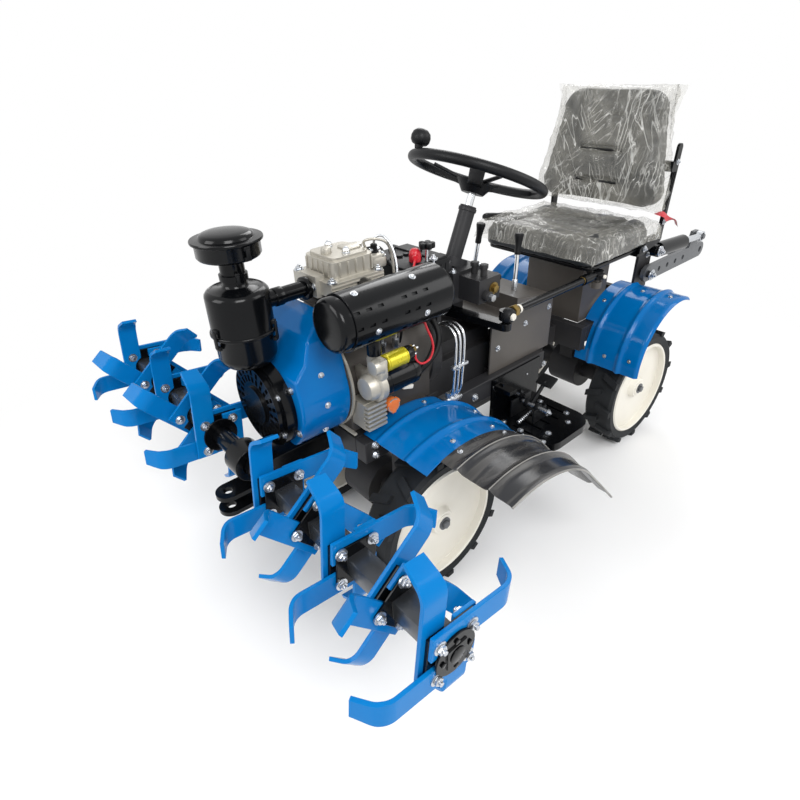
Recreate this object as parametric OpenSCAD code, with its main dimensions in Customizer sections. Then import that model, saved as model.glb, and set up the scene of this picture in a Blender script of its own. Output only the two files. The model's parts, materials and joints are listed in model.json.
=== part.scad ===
// Ride-on articulated diesel tiller: front module with engine and tine rotor,
// rear module with seat and lift, joined by a vertical pin in the waist.
// Millimetres; X forward, Y to the driver's left, Z up, ground at Z = 0.

/* [Wheels] */
// Outer radius of a tyre over its lugs
wheel_r = 216; // [205:1:220]
// Height of a tyre from the rim to the top of its lugs
tyre_h = 44; // [36:1:56]
// Width of a tyre
tyre_w = 100; // [80:1:110]
// Side distance of a tyre's middle plane
wheel_y = 240; // [235:1:260]
// Distance between the axles
wheelbase = 1007; // [980:1:1040]
// Lug pairs around a tyre
lug_pairs = 12; // [8:1:14]
// Height of a tyre lug
lug_h = 12; // [6:1:14]
// Radius of an axle shaft
axle_r = 17; // [14:1:20]

/* [Frame] */
// Side distance of the front rails
rail_y = 140; // [130:1:145]
// Width of a rail
rail_w = 40; // [30:1:44]
// Top of the rails
rail_top = 484; // [470:1:500]
// Height of a rail
rail_h = 60; // [40:1:70]
// Front end of the front rails, ahead of the front axle
rail_front = 150; // [120:1:165]
// Rear end of the front rails, behind the front axle
rail_back = 560; // [540:1:590]
// Side distance of the rear rails
rear_rail_y = 130; // [120:1:135]

/* [Waist] */
// Distance of the waist pin behind the front axle
pivot_back = 700; // [690:1:720]
// Radius of the waist pin
pivot_r = 18; // [14:1:22]
// Radius of the waist eyes
pivot_eye_r = 48; // [40:1:52]
// Side distance of the drag link
link_y = 200; // [196:1:210]
// Middle height of the drag link
link_z = 690; // [685:1:695]

/* [Rotor] */
// Distance of the tine shaft ahead of the front axle
rotor_x = 380; // [375:1:400]
// Height of the tine shaft
rotor_z = 476; // [460:1:490]
// Side distance of the innermost flange
flange_first = 153; // [152:1:165]
// Distance between flanges
flange_step = 128; // [120:1:130]
// Flanges on each side
flange_count = 5; // [3:1:6]
// Side of a square flange plate
flange_w = 104; // [90:1:110]
// Thickness of a flange or tine
tine_t = 8; // [6:1:10]
// Width of a tine
tine_w = 50; // [40:1:56]
// Length of a tine's straight part from the shaft
tine_straight = 116; // [105:1:122]
// Bend of a tine's tip in degrees
tine_bend = 60; // [40:1:66]
// Length of a tine's bent tip
tine_tip = 32; // [24:1:36]
// Radius of the round centre shaft
shaft_r = 24; // [18:1:26]
// Side of the square gang tube
gang_w = 44; // [36:1:48]
// Turn of the rotor as it parks
rotor_phase = -6; // [-20:1:20]

/* [Engine] */
// Height of the crankshaft
crank_z = 606; // [600:1:612]
// Half width of the fan shroud
shroud_hw = 135; // [120:1:140]
// Radius of the recoil starter
recoil_r = 108; // [100:1:110]
// Radius of the air cleaner canister
cleaner_r = 66; // [62:1:68]
// Distance of the air cleaner ahead of the front axle
cleaner_x = 326; // [322:1:335]
// Radius of the muffler
muffler_r = 60; // [50:1:64]
// Side distance of the muffler
muffler_y = 205; // [200:1:215]
// Height of the muffler
muffler_z = 838; // [830:1:845]

/* [Steering] */
// Lean of the steering column in degrees
column_lean = 23; // [15:1:30]
// Radius of the steering wheel
steer_r = 190; // [170:1:200]
// Radius of the steering wheel rim
steer_rim = 13; // [10:1:15]

/* [Fenders] */
// Radius of the fenders around the wheel centre
fender_r = 300; // [280:1:310]
// Sheet thickness
sheet = 3; // [2:1:4]
// Inner side of the front fenders
fender_in = 124; // [120:1:140]
// Radius of the rear fenders
rear_fender_r = 200; // [198:1:210]
// Height of the middle of the rear fenders' curve
rear_fender_z = 374; // [372:1:380]
// Inner side of the rear fenders
rear_fender_in = 118; // [116:1:130]
// Outer side of the blue fenders
fender_out = 350; // [330:1:360]
// Outer side of the front fender extensions
ext_out = 552; // [480:1:560]
// Length of the straight tail of a front fender extension
ext_tail = 205; // [150:1:215]

/* [Seat] */
// Bottom of the seat pan
pan_z = 712; // [711:1:720]
// Half width of the seat
seat_hw = 205; // [190:1:215]

/* [Lift] */
// Height of the lift arm pins
lift_z = 600; // [590:1:620]
// Distance of the lift arm pins behind the front axle
lift_back = 1100; // [1090:1:1120]
// Length of a lift arm
lift_len = 400; // [380:1:420]

/* [Hidden] */
$fn = 48;
// clearance of a turning fit, measured on the radius
run_gap = 0.08;
// gap between curved faces that only sit together
seat_gap = 0.3;
// place of the front axle in the finished frame
axle_x = (lift_back + lift_len + 28 - rotor_x - tine_straight - 59.2) / 2;
rim_r = wheel_r - tyre_h;
rear_x = -wheelbase;
pivot_x = -pivot_back;
lift_x = -lift_back;
rail_bot = rail_top - rail_h;
tyre_in = wheel_y - tyre_w / 2;
tyre_out = wheel_y + tyre_w / 2;
case_r = 112;
case_hw = case_r + 0.5;
gang_end = flange_first + (flange_count - 1) * flange_step;
blue = "#1473bd";
black = "#16191d";
dark = "#3a3a3c";
greybrown = "#5b5652";
alloy = "#c4bdae";
steel = "#b9bcc0";
rim_white = "#e6e2d8";
rubber = "#2a2c2e";

// every piece is drawn from the front axle and then set into the shared frame
module placed() {
  translate([axle_x, 0, 0]) children();
}

// box between two corners
module box(a, b) {
  translate(a) cube(b - a);
}

// round bar along X, Y or Z
module bar_x(r, x0, x1, y, z) {
  translate([x0, y, z]) rotate([0, 90, 0]) cylinder(r = r, h = x1 - x0);
}

module bar_y(r, y0, y1, x, z) {
  translate([x, y0, z]) rotate([-90, 0, 0]) cylinder(r = r, h = y1 - y0);
}

module bar_z(r, z0, z1, x, y) {
  translate([x, y, z0]) cylinder(r = r, h = z1 - z0);
}

// profile in X and Z, drawn out sideways
module plate_xz(y0, y1) {
  translate([0, y1, 0]) rotate([90, 0, 0]) linear_extrude(y1 - y0) children();
}

// flat strap with round ends between two points of the plan
module strap(p, q, r) {
  d = q - p;
  translate(p) circle(r);
  translate(q) circle(r);
  translate(p) rotate(atan2(d[1], d[0])) translate([0, 0.2 - r]) square([norm(d), 2 * r - 0.4]);
}

// rectangle with round corners in the plan
module soft_square(a, b, r) {
  translate([a[0] + r, a[1]]) square([b[0] - a[0] - 2 * r, b[1] - a[1]]);
  translate([a[0], a[1] + r]) square([b[0] - a[0], b[1] - a[1] - 2 * r]);
  for (x = [a[0] + r, b[0] - r])
    for (y = [a[1] + r, b[1] - r])
      translate([x, y]) circle(r);
}

// both hands of a piece
module pair() {
  children();
  mirror([0, 1, 0]) children();
}

module front_rails() {
  color(dark) placed() pair()
    box([-rail_back, rail_y - rail_w / 2, rail_bot], [rail_front, rail_y + rail_w / 2, rail_top]);
}

module cross_members() {
  y = rail_y - rail_w / 2;
  color(dark) placed() {
    box([rail_front - 40, -y, rail_bot], [rail_front, y, rail_top]);
    box([-rail_back, -y, rail_bot], [-rail_back + 40, y, rail_top]);
  }
}

// two eyes above each other that carry the waist pin
module waist_clevis() {
  x = -rail_back;
  color(dark) placed() difference() {
    union() {
      box([x - 12, -70, rail_bot - 44], [x, 70, rail_top]);
      for (z = [rail_bot - 44, rail_top - 14])
        translate([0, 0, z]) linear_extrude(14) {
          translate([pivot_x, 0]) circle(pivot_eye_r);
          translate([pivot_x, -pivot_eye_r]) square([x - pivot_x - 6, 2 * pivot_eye_r]);
        }
    }
    bar_z(pivot_r, 300, 600, pivot_x, 0);
  }
}

module waist_pin() {
  color(steel) placed() {
    bar_z(pivot_r, rail_bot - 60, rail_top, pivot_x, 0);
    bar_z(pivot_r + 10, rail_top, rail_top + 12, pivot_x, 0);
  }
}

module gearbox() {
  color(dark) placed() {
    box([-400, -90, 340], [-124, 90, 560]);
    box([-400, -120, rail_bot + 10], [-360, 120, rail_top - 10]);
    box([-160, -120, rail_bot + 10], [-124, 120, rail_top - 10]);
    bar_x(112, -160, -124, 0, crank_z - 20);
    box([-400, -64, 560], [-160, 64, 600]);
  }
}

module axle(x, drive_x) {
  translate([x, 0, 0]) {
    bar_y(36, -(tyre_in - 8), tyre_in - 8, 0, wheel_r);
    bar_y(axle_r, -(wheel_y + 28), wheel_y + 28, 0, wheel_r);
    bar_y(78, -58, 58, 0, wheel_r);
    for (s = [-1, 1])
      box([-42, s * 141 - 16, wheel_r], [42, s * 141 + 16, rail_bot]);
  }
}

module front_axle() {
  color(dark) placed() {
    axle(0);
    box([-250, -30, wheel_r - 30], [0, 30, wheel_r + 30]);
    box([-250, -30, wheel_r], [-190, 30, 340]);
  }
}

module rear_axle() {
  color(dark) placed() {
    axle(rear_x);
    box([rear_x, -28, wheel_r], [rear_x + 60, 28, 330]);
  }
}

module engine_block() {
  color(alloy) placed() {
    box([-110, -case_hw, rail_top + 14], [150, case_hw, 590]);
    bar_x(shroud_hw - 3, 148, 160, 0, crank_z + 14);
    box([-94, -160, rail_top], [-34, 160, rail_top + 14]);
    box([14, -160, rail_top], [74, 160, rail_top + 14]);
    bar_x(case_r, -124, 160, 0, crank_z);
    bar_z(56, 690, 830, 70, 0);
    for (i = [0:6])
      box([0, -72, 732 + 14 * i], [142, 72, 737 + 14 * i]);
  }
}

module cylinder_head() {
  color(alloy) placed() {
    box([-2, -76, 830], [146, 76, 862]);
    translate([0, 0, 862]) linear_extrude(38) soft_square([8, -58], [126, 58], 18);
    translate([0, 0, 900]) linear_extrude(7) soft_square([16, -50], [118, 50], 16);
    box([132, -32, 823], [156, 32, 872]);
    for (y = [-34, 34])
      bar_z(9, 907, 914, 70, y);
  }
}

// shroud outline seen from the front: a round volute that narrows to the head
module shroud_face() {
  intersection() {
    translate([0, crank_z + 14]) circle(shroud_hw);
    translate([-200, crank_z - 100]) square([400, 209]);
  }
  polygon([[-shroud_hw + 7, 662], [shroud_hw - 7, 662], [106, 762], [84, 806], [-84, 806], [-106, 762]]);
}

module fan_shroud() {
  color(blue) placed() intersection() {
    translate([160, 0, 0]) rotate([90, 0, 90]) linear_extrude(130) shroud_face();
    plate_xz(-shroud_hw - 10, shroud_hw + 10)
      polygon([[150, 490], [300, 490], [300, 684], [258, 722], [238, 770], [200, 798], [150, 804]]);
  }
}

module recoil_starter() {
  color(black) placed() difference() {
    union() {
      bar_x(recoil_r, 290, 316, 0, crank_z);
      bar_x(recoil_r - 12, 316, 330, 0, crank_z);
      bar_x(46, 330, 336, 0, crank_z);
    }
    for (i = [0:23])
      translate([0, 0, crank_z]) rotate([i * 15, 0, 0])
        for (r = [58, 77])
          box([308, -4.5, r], [340, 4.5, r + 15]);
  }
}

module air_cleaner() {
  r = cleaner_r;
  color(black) placed() {
    translate([cleaner_x, 0, 0]) rotate_extrude()
      polygon([[0, 717], [40, 717], [r - 10, 726], [r - 3, 740], [r - 3, 790], [r + 4, 792], [r + 4, 799],
        [r, 801], [r, 880], [r - 8, 888], [27, 892], [25, 898], [25, 948], [r - 4, 951], [r - 2, 956],
        [r - 2, 982], [r + 5, 984], [r + 5, 989], [r - 10, 990], [r - 13, 996], [r - 22, 1000], [0, 1003]]);
    bar_x(18, 156, cleaner_x - 40, 0, 842);
  }
}

// muffler with a round heat shield, its flat cap to the front
module muffler() {
  r = muffler_r;
  color(black) placed() {
    translate([0, muffler_y, muffler_z]) rotate([0, 90, 0]) rotate_extrude()
      polygon([[0, -54], [r - 14, -52], [r - 6, -44], [r - 6, -36], [r, -36], [r, 222], [r - 4, 222],
        [r - 4, 242], [r - 10, 250], [0, 252]]);
    bar_y(20, 76, muffler_y, 60, muffler_z);
    bar_z(16, muffler_z - 96, muffler_z, 140, muffler_y);
  }
}

// starter under the muffler, with its solenoid above it
module starter_motor() {
  color(black) placed() {
    bar_x(34, -6, 146, 166, 640);
    bar_x(39, 104, 120, 166, 640);
    difference() {
      box([104, 90, 606], [120, 166, 674]);
      bar_x(case_r + seat_gap, 90, 140, 0, crank_z);
    }
    box([30, 160, 660], [100, 190, 690]);
    bar_x(20, 20, 112, 186, 697);
    bar_x(13, 8, 20, 186, 697);
  }
}

module oil_cooler() {
  color(alloy) placed() {
    box([90, case_hw, 526], [146, 160, 596]);
    for (i = [0:5])
      box([90, 160, 528 + i * 12], [146, 176, 534 + i * 12]);
    box([50, case_hw, 551], [90, 128, 581]);
    bar_y(10, 128, 152, 66, 566);
    bar_y(18, 152, 174, 66, 566);
  }
}

module battery_tray() {
  color(dark) placed() {
    box([-206, -70, 724], [-44, 98, 734]);
    box([-206, -60, 600], [-190, 60, 724]);
  }
}

module battery() {
  color(black) placed() {
    box([-200, -64, 734], [-50, 92, 848]);
    for (y = [-40, 60])
      bar_z(9, 848, 862, -125, y);
  }
}

// narrow beam that carries the tine shaft between the two gangs
module nose_beam() {
  color(black) placed() difference() {
    union() {
      box([rail_front, -30, rotor_z - 60], [rotor_x, 30, rotor_z - 10]);
      bar_y(44, -30, 30, rotor_x, rotor_z);
    }
    bar_y(shaft_r + run_gap, -200, 200, rotor_x, rotor_z);
  }
}

module front_clevis() {
  x = rotor_x + 62;
  color(black) placed() difference() {
    union() {
      box([rotor_x - 60, -30, 372], [rotor_x + 6, 30, rotor_z - 60]);
      for (z = [360, 404])
        translate([0, 0, z]) linear_extrude(12) {
          translate([x, 0]) circle(30);
          translate([rotor_x - 60, -30]) square([x - rotor_x + 60, 60]);
        }
    }
    bar_z(11, 300, 460, x, 0);
  }
}

// axis of the steering column
module on_column() {
  translate([-310, 0, 800]) rotate([0, -column_lean, 0]) children();
}

module steering_box() {
  color(dark) placed() {
    box([-350, -60, 704], [-240, 68, 788]);
    box([-350, -60, 640], [-312, 4, 704]);
    on_column() difference() {
      union() {
        translate([0, 0, -20]) cylinder(r = 40, h = 24);
        translate([0, 0, -10]) cylinder(r = 22, h = 150);
      }
      translate([0, 0, 30]) cylinder(r = 10 + run_gap, h = 200);
    }
    box([-345, 60, 716], [-262, 140, 780]);
    for (y = [88, 120])
      bar_z(9, 770, 800, -300, y);
  }
}

module steering_wheel() {
  rim_c = steer_r - steer_rim;
  color(black) placed() on_column() {
    translate([0, 0, 31]) cylinder(r = 10, h = 170);
    translate([0, 0, 172]) cylinder(r1 = 30, r2 = 52, h = 30);
    translate([0, 0, 220]) rotate_extrude() translate([rim_c, 0]) circle(steer_rim);
    for (a = [40, 160, 280])
      rotate([0, 0, a]) translate([30, -19, 186]) rotate([0, -11, 0]) cube([rim_c - 32, 38, 12]);
    rotate([0, 0, -25]) translate([rim_c, 0, 220]) cylinder(r = 7, h = 30);
    rotate([0, 0, -25]) translate([rim_c, 0, 242]) cylinder(r1 = 15, r2 = 21, h = 18);
    rotate([0, 0, -25]) translate([rim_c, 0, 260]) cylinder(r1 = 21, r2 = 13, h = 16);
  }
}

// pitman arm under the steering box, as long as the lever of the waist
module steer_arm() {
  x = pivot_x + 430;
  color(black) placed() {
    translate([0, 0, link_z - 36]) linear_extrude(20) strap([x, 0], [x - 31, link_y], 17);
    bar_z(28, link_z - 36, link_z - 12, x, 0);
    bar_z(15, link_z - 12, 703.5, x, 0);
    bar_z(8, link_z - 16, link_z - 8, x - 31, link_y);
  }
}

module drag_link() {
  x0 = pivot_x - 31;
  x1 = x0 + 430;
  color(black) placed() {
    bar_x(11, x0, x1, link_y, link_z + 6);
    for (x = [x0, x1])
      bar_z(17, link_z - 7.8, link_z + 18, x, link_y);
    bar_x(15, x0 + 40, x0 + 80, link_y, link_z + 6);
  }
}

module tank_box() {
  color(greybrown) placed() difference() {
    plate_xz(-142, 142)
      polygon([[-320, rail_top], [-600, rail_top], [-600, 655], [-425, 690], [-425, 640], [-320, 640]]);
    box([-430, -136, 400], [-300, 136, 634]);
    box([-594, -136, 400], [-420, 136, 630]);
  }
}

module levers() {
  color(black) placed() {
    translate([-500, 70, 676.2]) rotate([8, -12, 0]) cylinder(r = 6, h = 110);
    translate([-500, 70, 676.2]) rotate([8, -12, 0]) translate([0, 0, 100]) cylinder(r = 14, h = 60);
    translate([-480, -80, 680.9]) rotate([-6, -4, 0]) cylinder(r = 6, h = 120);
    translate([-480, -80, 680.9]) rotate([-6, -4, 0]) translate([0, 0, 110]) cylinder(r = 13, h = 60);
  }
}

// pressed footboards with a turned-down edge, slotted for grip
module footboards() {
  y0 = rail_y + rail_w / 2;
  color(black) placed() pair() difference() {
    union() {
      translate([0, 0, 322]) linear_extrude(24) soft_square([-532, y0], [-310, 374], 60);
      translate([0, 0, 322]) linear_extrude(24) soft_square([-532, y0], [-310, 300], 8);
      box([-532, y0, 322], [-310, y0 + 6, rail_top - 6]);
    }
    translate([0, 0, 300]) linear_extrude(40) soft_square([-526, y0 + 6], [-316, 368], 54);
    for (i = [0:4])
      box([-500 + i * 40, 230, 330], [-490 + i * 40, 300, 360]);
  }
}

module pedals() {
  y = rail_y + rail_w / 2 + 6;
  color(black) placed() pair() {
    box([-420, y, 380], [-390, y + 20, 420]);
    bar_y(12, y, y + 40, -405, 400);
    translate([-405, y + 28, 400]) rotate([0, 52, 0]) cylinder(r = 8, h = 120);
    box([-330, y + 14, 462], [-300, y + 70, 474]);
  }
}

// sheet arch over a wheel with two ridges, and a lip where it has a free outer edge
module arch(x, z, r, a0, a1, y0, y1, lip = 10) {
  translate([x, 0, z]) rotate([90, -a0, 0]) rotate_extrude(angle = a1 - a0) {
    translate([r, -y1]) square([sheet, y1 - y0]);
    if (lip > 0)
      translate([r - lip, -y1]) square([lip, sheet]);
    for (k = [0.25, 0.7])
      translate([r + sheet, -(y0 + k * (y1 - y0)) - 7]) square([5, 14]);
  }
}

// straight tail of an arch, a little thicker than its sheet so that the two join
module tail(x, z, r, a, y0, y1, len) {
  translate([x, 0, z]) rotate([0, -a, 0]) {
    box([r - 1, y0 + 1, -12], [r + sheet + 1, y1 - 1, len]);
    for (k = [0.25, 0.7])
      box([r + 1, y0 + k * (y1 - y0) - 8, -12], [r + sheet + 6, y0 + k * (y1 - y0) + 8, len]);
  }
}

// the blue sheet reaches in over the rail and is cut back where it would meet it
module front_fenders() {
  color(blue) placed() pair() difference() {
    arch(0, wheel_r, fender_r, 65, 155, fender_in, fender_out, 0);
    box([-600, 0, 300], [-110, rail_y + rail_w / 2 + 3, 600]);
  }
}

module fender_extensions() {
  color("#2b2e31") placed() pair() {
    arch(0, wheel_r, fender_r, 74, 138, fender_out, ext_out, 0);
    tail(0, wheel_r, fender_r, 138, fender_out, ext_out, ext_tail);
  }
}

// stay under an arch, its top edge on the sheet
module stay(x, xc, zc, r, y0, y1, foot) {
  d = abs(x - xc) + 10;
  z = zc + sqrt(r * r - d * d) - 0.2;
  box([x - 10, y0, z - 8], [x + 10, y1, z]);
  box([x - 10, y0, foot], [x + 10, y0 + 6, z]);
}

module fender_stays_front() {
  color(dark) placed() pair()
    for (x = [-120, 60])
      stay(x, 0, wheel_r, fender_r, rail_y + rail_w / 2, ext_out - 14, rail_bot + 6);
}

// the rear sheet is cut round the rails, the waist beam and the lift mast
module rear_fenders() {
  y = rear_rail_y + rail_w / 2 + 2;
  color(blue) placed() pair() difference() {
    arch(rear_x - 6, rear_fender_z, rear_fender_r, -5, 112, rear_fender_in, fender_out, 0);
    box([-1300, 0, rail_bot - 30], [-760, y, rail_top + 6]);
    box([-1300, 0, 300], [lift_x + 46, y + 40, 800]);
  }
}

module fender_stays_rear() {
  color(dark) placed() pair()
    for (x = [rear_x - 30, rear_x + 100])
      stay(x, rear_x - 6, rear_fender_z, rear_fender_r, rear_rail_y + rail_w / 2, fender_out - 14, rail_bot + 6);
}

// side view of a tine's strip, bent to the side it is thrown to
tine_in = 36;
function on_bend(r, a) = [tine_straight + r * sin(a), tine_t + tine_in - r * cos(a)];
function past_bend(r) = on_bend(r, tine_bend) + tine_tip * [cos(tine_bend), sin(tine_bend)];
bend_steps = [for (i = [0:10]) tine_bend * i / 10];

module tine_side() {
  polygon(concat([[-flange_w / 2, 0]],
    [for (a = bend_steps) on_bend(tine_in + tine_t, a)],
    [past_bend(tine_in + tine_t), past_bend(tine_in)],
    [for (a = bend_steps) on_bend(tine_in, tine_bend - a)],
    [[-flange_w / 2, tine_t]]));
}

// one tine: flat base with a notch round the shaft, tapered tip bent to one side
module tine(way) {
  w0 = 12;
  w1 = w0 + tine_w;
  xe = past_bend(tine_in + tine_t)[0] + 2;
  m = way > 0 ? 0 : 1;
  translate([0, 0, tine_t / 2]) mirror([0, 0, m]) translate([0, 0, -tine_t / 2]) difference() {
    intersection() {
      translate([0, w1, 0]) rotate([90, 0, 0]) linear_extrude(tine_w) tine_side();
      translate([0, 0, -10]) linear_extrude(120)
        polygon([[-flange_w / 2, w0], [tine_straight + 20, w0], [xe, w0 + 8], [xe, w1 - 4],
          [tine_straight + 30, w1], [-flange_w / 2, w1]]);
    }
    translate([0, 0, -20]) cylinder(r = 32, h = 140);
  }
}

module on_rotor() {
  translate([rotor_x, 0, rotor_z]) rotate([-90, 0, 0]) children();
}

// flange centres get turned by an eighth from one to the next
function flange_y(i) = flange_first + i * flange_step;
function flange_turn(i) = rotor_phase + 45 * (i % 2);

// round shaft that runs in the nose beam, between the two gangs
module tine_shaft() {
  color("#2a2d31") placed() on_rotor()
    cylinder(r = shaft_r, h = 2 * (flange_first - gang_face), center = true);
}

// distance from the middle of a flange to the outer face of its cover plate
gang_face = 1.5 * tine_t + 5;

// plate of a flange, in the middle or outside its tines
module flange_plate(i, z, w) {
  translate([0, 0, flange_y(i) + z]) rotate([0, 0, flange_turn(i)])
    translate([0, 0, -2.5]) linear_extrude(5) soft_square([-w / 2, -w / 2], [w / 2, w / 2], 10);
}

// square tube of each gang with its flanges, cover plates and round end caps
module gang_tubes() {
  last = flange_count - 1;
  color("#2a2d31") placed() on_rotor()
    for (s = [0, 1])
      mirror([0, 0, s]) {
        translate([-gang_w / 2, -gang_w / 2, flange_first - gang_face])
          cube([gang_w, gang_w, gang_end - flange_first + gang_face + 20]);
        for (i = [0:last])
          translate([0, 0, flange_y(i)]) rotate([0, 0, flange_turn(i)])
            cube([flange_w, flange_w, tine_t], center = true);
        for (i = [0:last - 1])
          flange_plate(i, gang_face - 2.5, flange_w - 12);
        translate([0, 0, flange_first - gang_face]) cylinder(r = 44, h = 5);
        translate([0, 0, gang_end + gang_face - 5]) cylinder(r = 44, h = 5);
      }
}

// the first flange throws its tines outwards, the last one inwards
module tines(side) {
  s = side > 0 ? 0 : 1;
  color(blue) placed() on_rotor() mirror([0, 0, s])
    for (i = [0:flange_count - 1])
      translate([0, 0, flange_y(i)]) rotate([0, 0, flange_turn(i)])
        for (k = [0:3]) {
          out = (k + i) % 2 == 0;
          way = i == 0 ? 1 : i == flange_count - 1 ? -1 : out ? 1 : -1;
          rotate([0, 0, 90 * k]) translate([0, 0, out ? tine_t / 2 : -1.5 * tine_t])
            tine(way);
        }
}

module tines_left() {
  tines(1);
}

module tines_right() {
  tines(-1);
}

module rim(x, side) {
  s = side > 0 ? 0 : 1;
  w = tyre_w / 2;
  color(rim_white) placed() mirror([0, s, 0]) translate([x, wheel_y, wheel_r]) rotate([-90, 0, 0])
    difference() {
      rotate_extrude()
        polygon([[0, -w + 8], [34, -w + 8], [34, 12], [90, 18], [rim_r - 12, 20], [rim_r - 10, -w + 6],
          [rim_r, -w + 6], [rim_r, w - 6], [rim_r - 6, w], [rim_r - 12, w - 2], [rim_r - 12, 26],
          [90, 24], [40, 20], [34, 40], [0, 40]]);
      translate([0, 0, -w]) cylinder(r = axle_r + run_gap, h = w + 28.5);
    }
}

module rim_front_left() {
  rim(0, 1);
}

module rim_front_right() {
  rim(0, -1);
}

module rim_rear_left() {
  rim(rear_x, 1);
}

module rim_rear_right() {
  rim(rear_x, -1);
}

// solid tyre with slanted lugs that alternate from side to side
module tyre(x, side) {
  s = side > 0 ? 0 : 1;
  w = tyre_w / 2;
  c = wheel_r - lug_h;
  color(rubber) placed() mirror([0, s, 0]) translate([x, wheel_y, wheel_r]) rotate([-90, 0, 0]) {
    rotate_extrude()
      polygon([[rim_r + seat_gap, -w + 4], [c - 8, -w], [c, -w + 10], [c, w - 10], [c - 8, w],
        [rim_r + seat_gap, w - 4]]);
    intersection() {
      cylinder(r = wheel_r, h = 2 * w, center = true);
      for (k = [0, 1])
        for (i = [0:lug_pairs - 1])
          mirror([0, 0, k]) rotate([0, 0, (i + k / 2) * 360 / lug_pairs]) rotate([0, 90, 0])
            translate([0, 0, c - 6]) linear_extrude(lug_h + 10)
              polygon([[-w, 12], [-w, 34], [4, 12], [4, -10]]);
    }
  }
}

module tyre_front_left() {
  tyre(0, 1);
}

module tyre_front_right() {
  tyre(0, -1);
}

module tyre_rear_left() {
  tyre(rear_x, 1);
}

module tyre_rear_right() {
  tyre(rear_x, -1);
}

module waist_tongue() {
  color(dark) placed() difference() {
    union() {
      translate([0, 0, rail_bot - 24]) linear_extrude(64) {
        translate([pivot_x, 0]) circle(pivot_eye_r - 2);
        translate([pivot_x - 110, -pivot_eye_r + 2]) square([110, 2 * pivot_eye_r - 4]);
      }
      box([pivot_x - 110, -rear_rail_y - rail_w / 2, rail_bot - 24],
        [pivot_x - 80, rear_rail_y + rail_w / 2, rail_top]);
    }
    bar_z(pivot_r + run_gap, 300, 600, pivot_x, 0);
  }
}

module rear_rails() {
  y0 = rear_rail_y - rail_w / 2;
  color(dark) placed() pair() {
    box([-1230, y0, rail_bot], [pivot_x - 110, y0 + rail_w, rail_top]);
    box([-1230, 0, rail_bot], [-1200, y0 + 5, rail_top]);
  }
}

module seat_pedestal() {
  color(greybrown) placed() {
    box([-960, -112, rail_top], [-810, 112, pan_z]);
    translate([0, 0, link_z - 36]) linear_extrude(20) {
      strap([pivot_x - 31, link_y], [-830, 112], 17);
      strap([-830, 112], [-830, 80], 17);
    }
    bar_z(8, link_z - 16, link_z - 8, pivot_x - 31, link_y);
  }
}

module seat_pan() {
  color(black) placed() translate([0, 0, pan_z]) linear_extrude(12)
    soft_square([-1026, -seat_hw + 4], [-684, seat_hw - 4], 30);
}

module seat_cushion() {
  color("#1d1f22") placed() translate([0, 0, pan_z + 12]) {
    linear_extrude(50) soft_square([-1020, -seat_hw], [-670, seat_hw], 40);
    translate([0, 0, 50]) linear_extrude(22) soft_square([-1012, -seat_hw + 10], [-680, seat_hw - 10], 40);
  }
}

// frame of the backrest: X out of its front face, Z up along it
module on_back() {
  translate([-978, 0, 850]) rotate([0, -5, 0]) children();
}

// backrest outline, narrower at the top
back_h = 318;
back_low = seat_hw;
back_top = seat_hw - 40;

module back_outline() {
  r0 = 50;
  r1 = 62;
  polygon([[-back_low + r0, 0], [back_low - r0, 0], [back_low, r0], [back_top, back_h - r1],
    [back_top - r1, back_h], [-back_top + r1, back_h], [-back_top, back_h - r1], [-back_low, r0]]);
  for (s = [-1, 1]) {
    translate([s * (back_low - r0), r0]) circle(r0 - 0.2);
    translate([s * (back_top - r1), back_h - r1]) circle(r1 - 0.2);
  }
}

module seat_backrest() {
  color("#1d1f22") placed() on_back() rotate([90, 0, -90]) linear_extrude(66) back_outline();
}

// flat irons that hold the backrest, bolted under the pan
module seat_brackets() {
  y0 = seat_hw + 0.5;
  color(black) placed() pair() {
    plate_xz(y0, y0 + 8) {
      strap([-960, pan_z + 6], [-1066, pan_z + 26], 14);
      strap([-1066, pan_z + 28], [-1082, 1010], 13);
    }
    box([-986, seat_hw - 50, pan_z - 8], [-936, y0 + 8, pan_z]);
    on_back() box([-100, seat_hw - 70, 100], [-66, y0 + 8, 130]);
  }
}

module lift_mast() {
  y = rear_rail_y + rail_w / 2;
  color(dark) placed() pair() {
    box([lift_x - 50, y, rail_bot + 10], [lift_x + 40, y + 10, 724]);
    bar_y(12, y, y + 46, lift_x, lift_z);
    bar_y(10, y, y + 66, lift_x + 15, lift_z + 90);
  }
}

module lift_arms() {
  y = rear_rail_y + rail_w / 2 + 20;
  color("#77797c") placed() {
    for (s = [0, 1])
      mirror([0, s, 0]) difference() {
        union() {
          plate_xz(y, y + 14) {
            strap([lift_x, lift_z], [lift_x - lift_len, lift_z], 28);
            polygon([[lift_x - 370, lift_z], [lift_x - 290, lift_z], [lift_x - 312, lift_z + 84],
              [lift_x - 348, lift_z + 84]]);
          }
          bar_y(9, y, y + 46, lift_x - 330, lift_z + 68);
        }
        bar_y(12 + run_gap, 0, 400, lift_x, lift_z);
        for (i = [1:4])
          bar_y(9, 0, 400, lift_x - 60 * i - 20, lift_z);
        bar_y(11, 0, 400, lift_x - lift_len, lift_z);
      }
    bar_y(20, -y, y, lift_x - lift_len + 70, lift_z - 4);
  }
}

// lift cylinder in its own frame: barrel pin at the origin, rod towards +X
lift_p1 = [lift_x + 15, lift_z + 90];
lift_p2 = [lift_x - 330, lift_z + 68];
lift_span = norm(lift_p2 - lift_p1);
lift_tilt = atan2(lift_p2[1] - lift_p1[1], lift_p2[0] - lift_p1[0]);

module on_lift() {
  y = rear_rail_y + rail_w / 2 + 50;
  translate([lift_p1[0], y, lift_p1[1]]) rotate([0, -lift_tilt, 0]) children();
}

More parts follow.
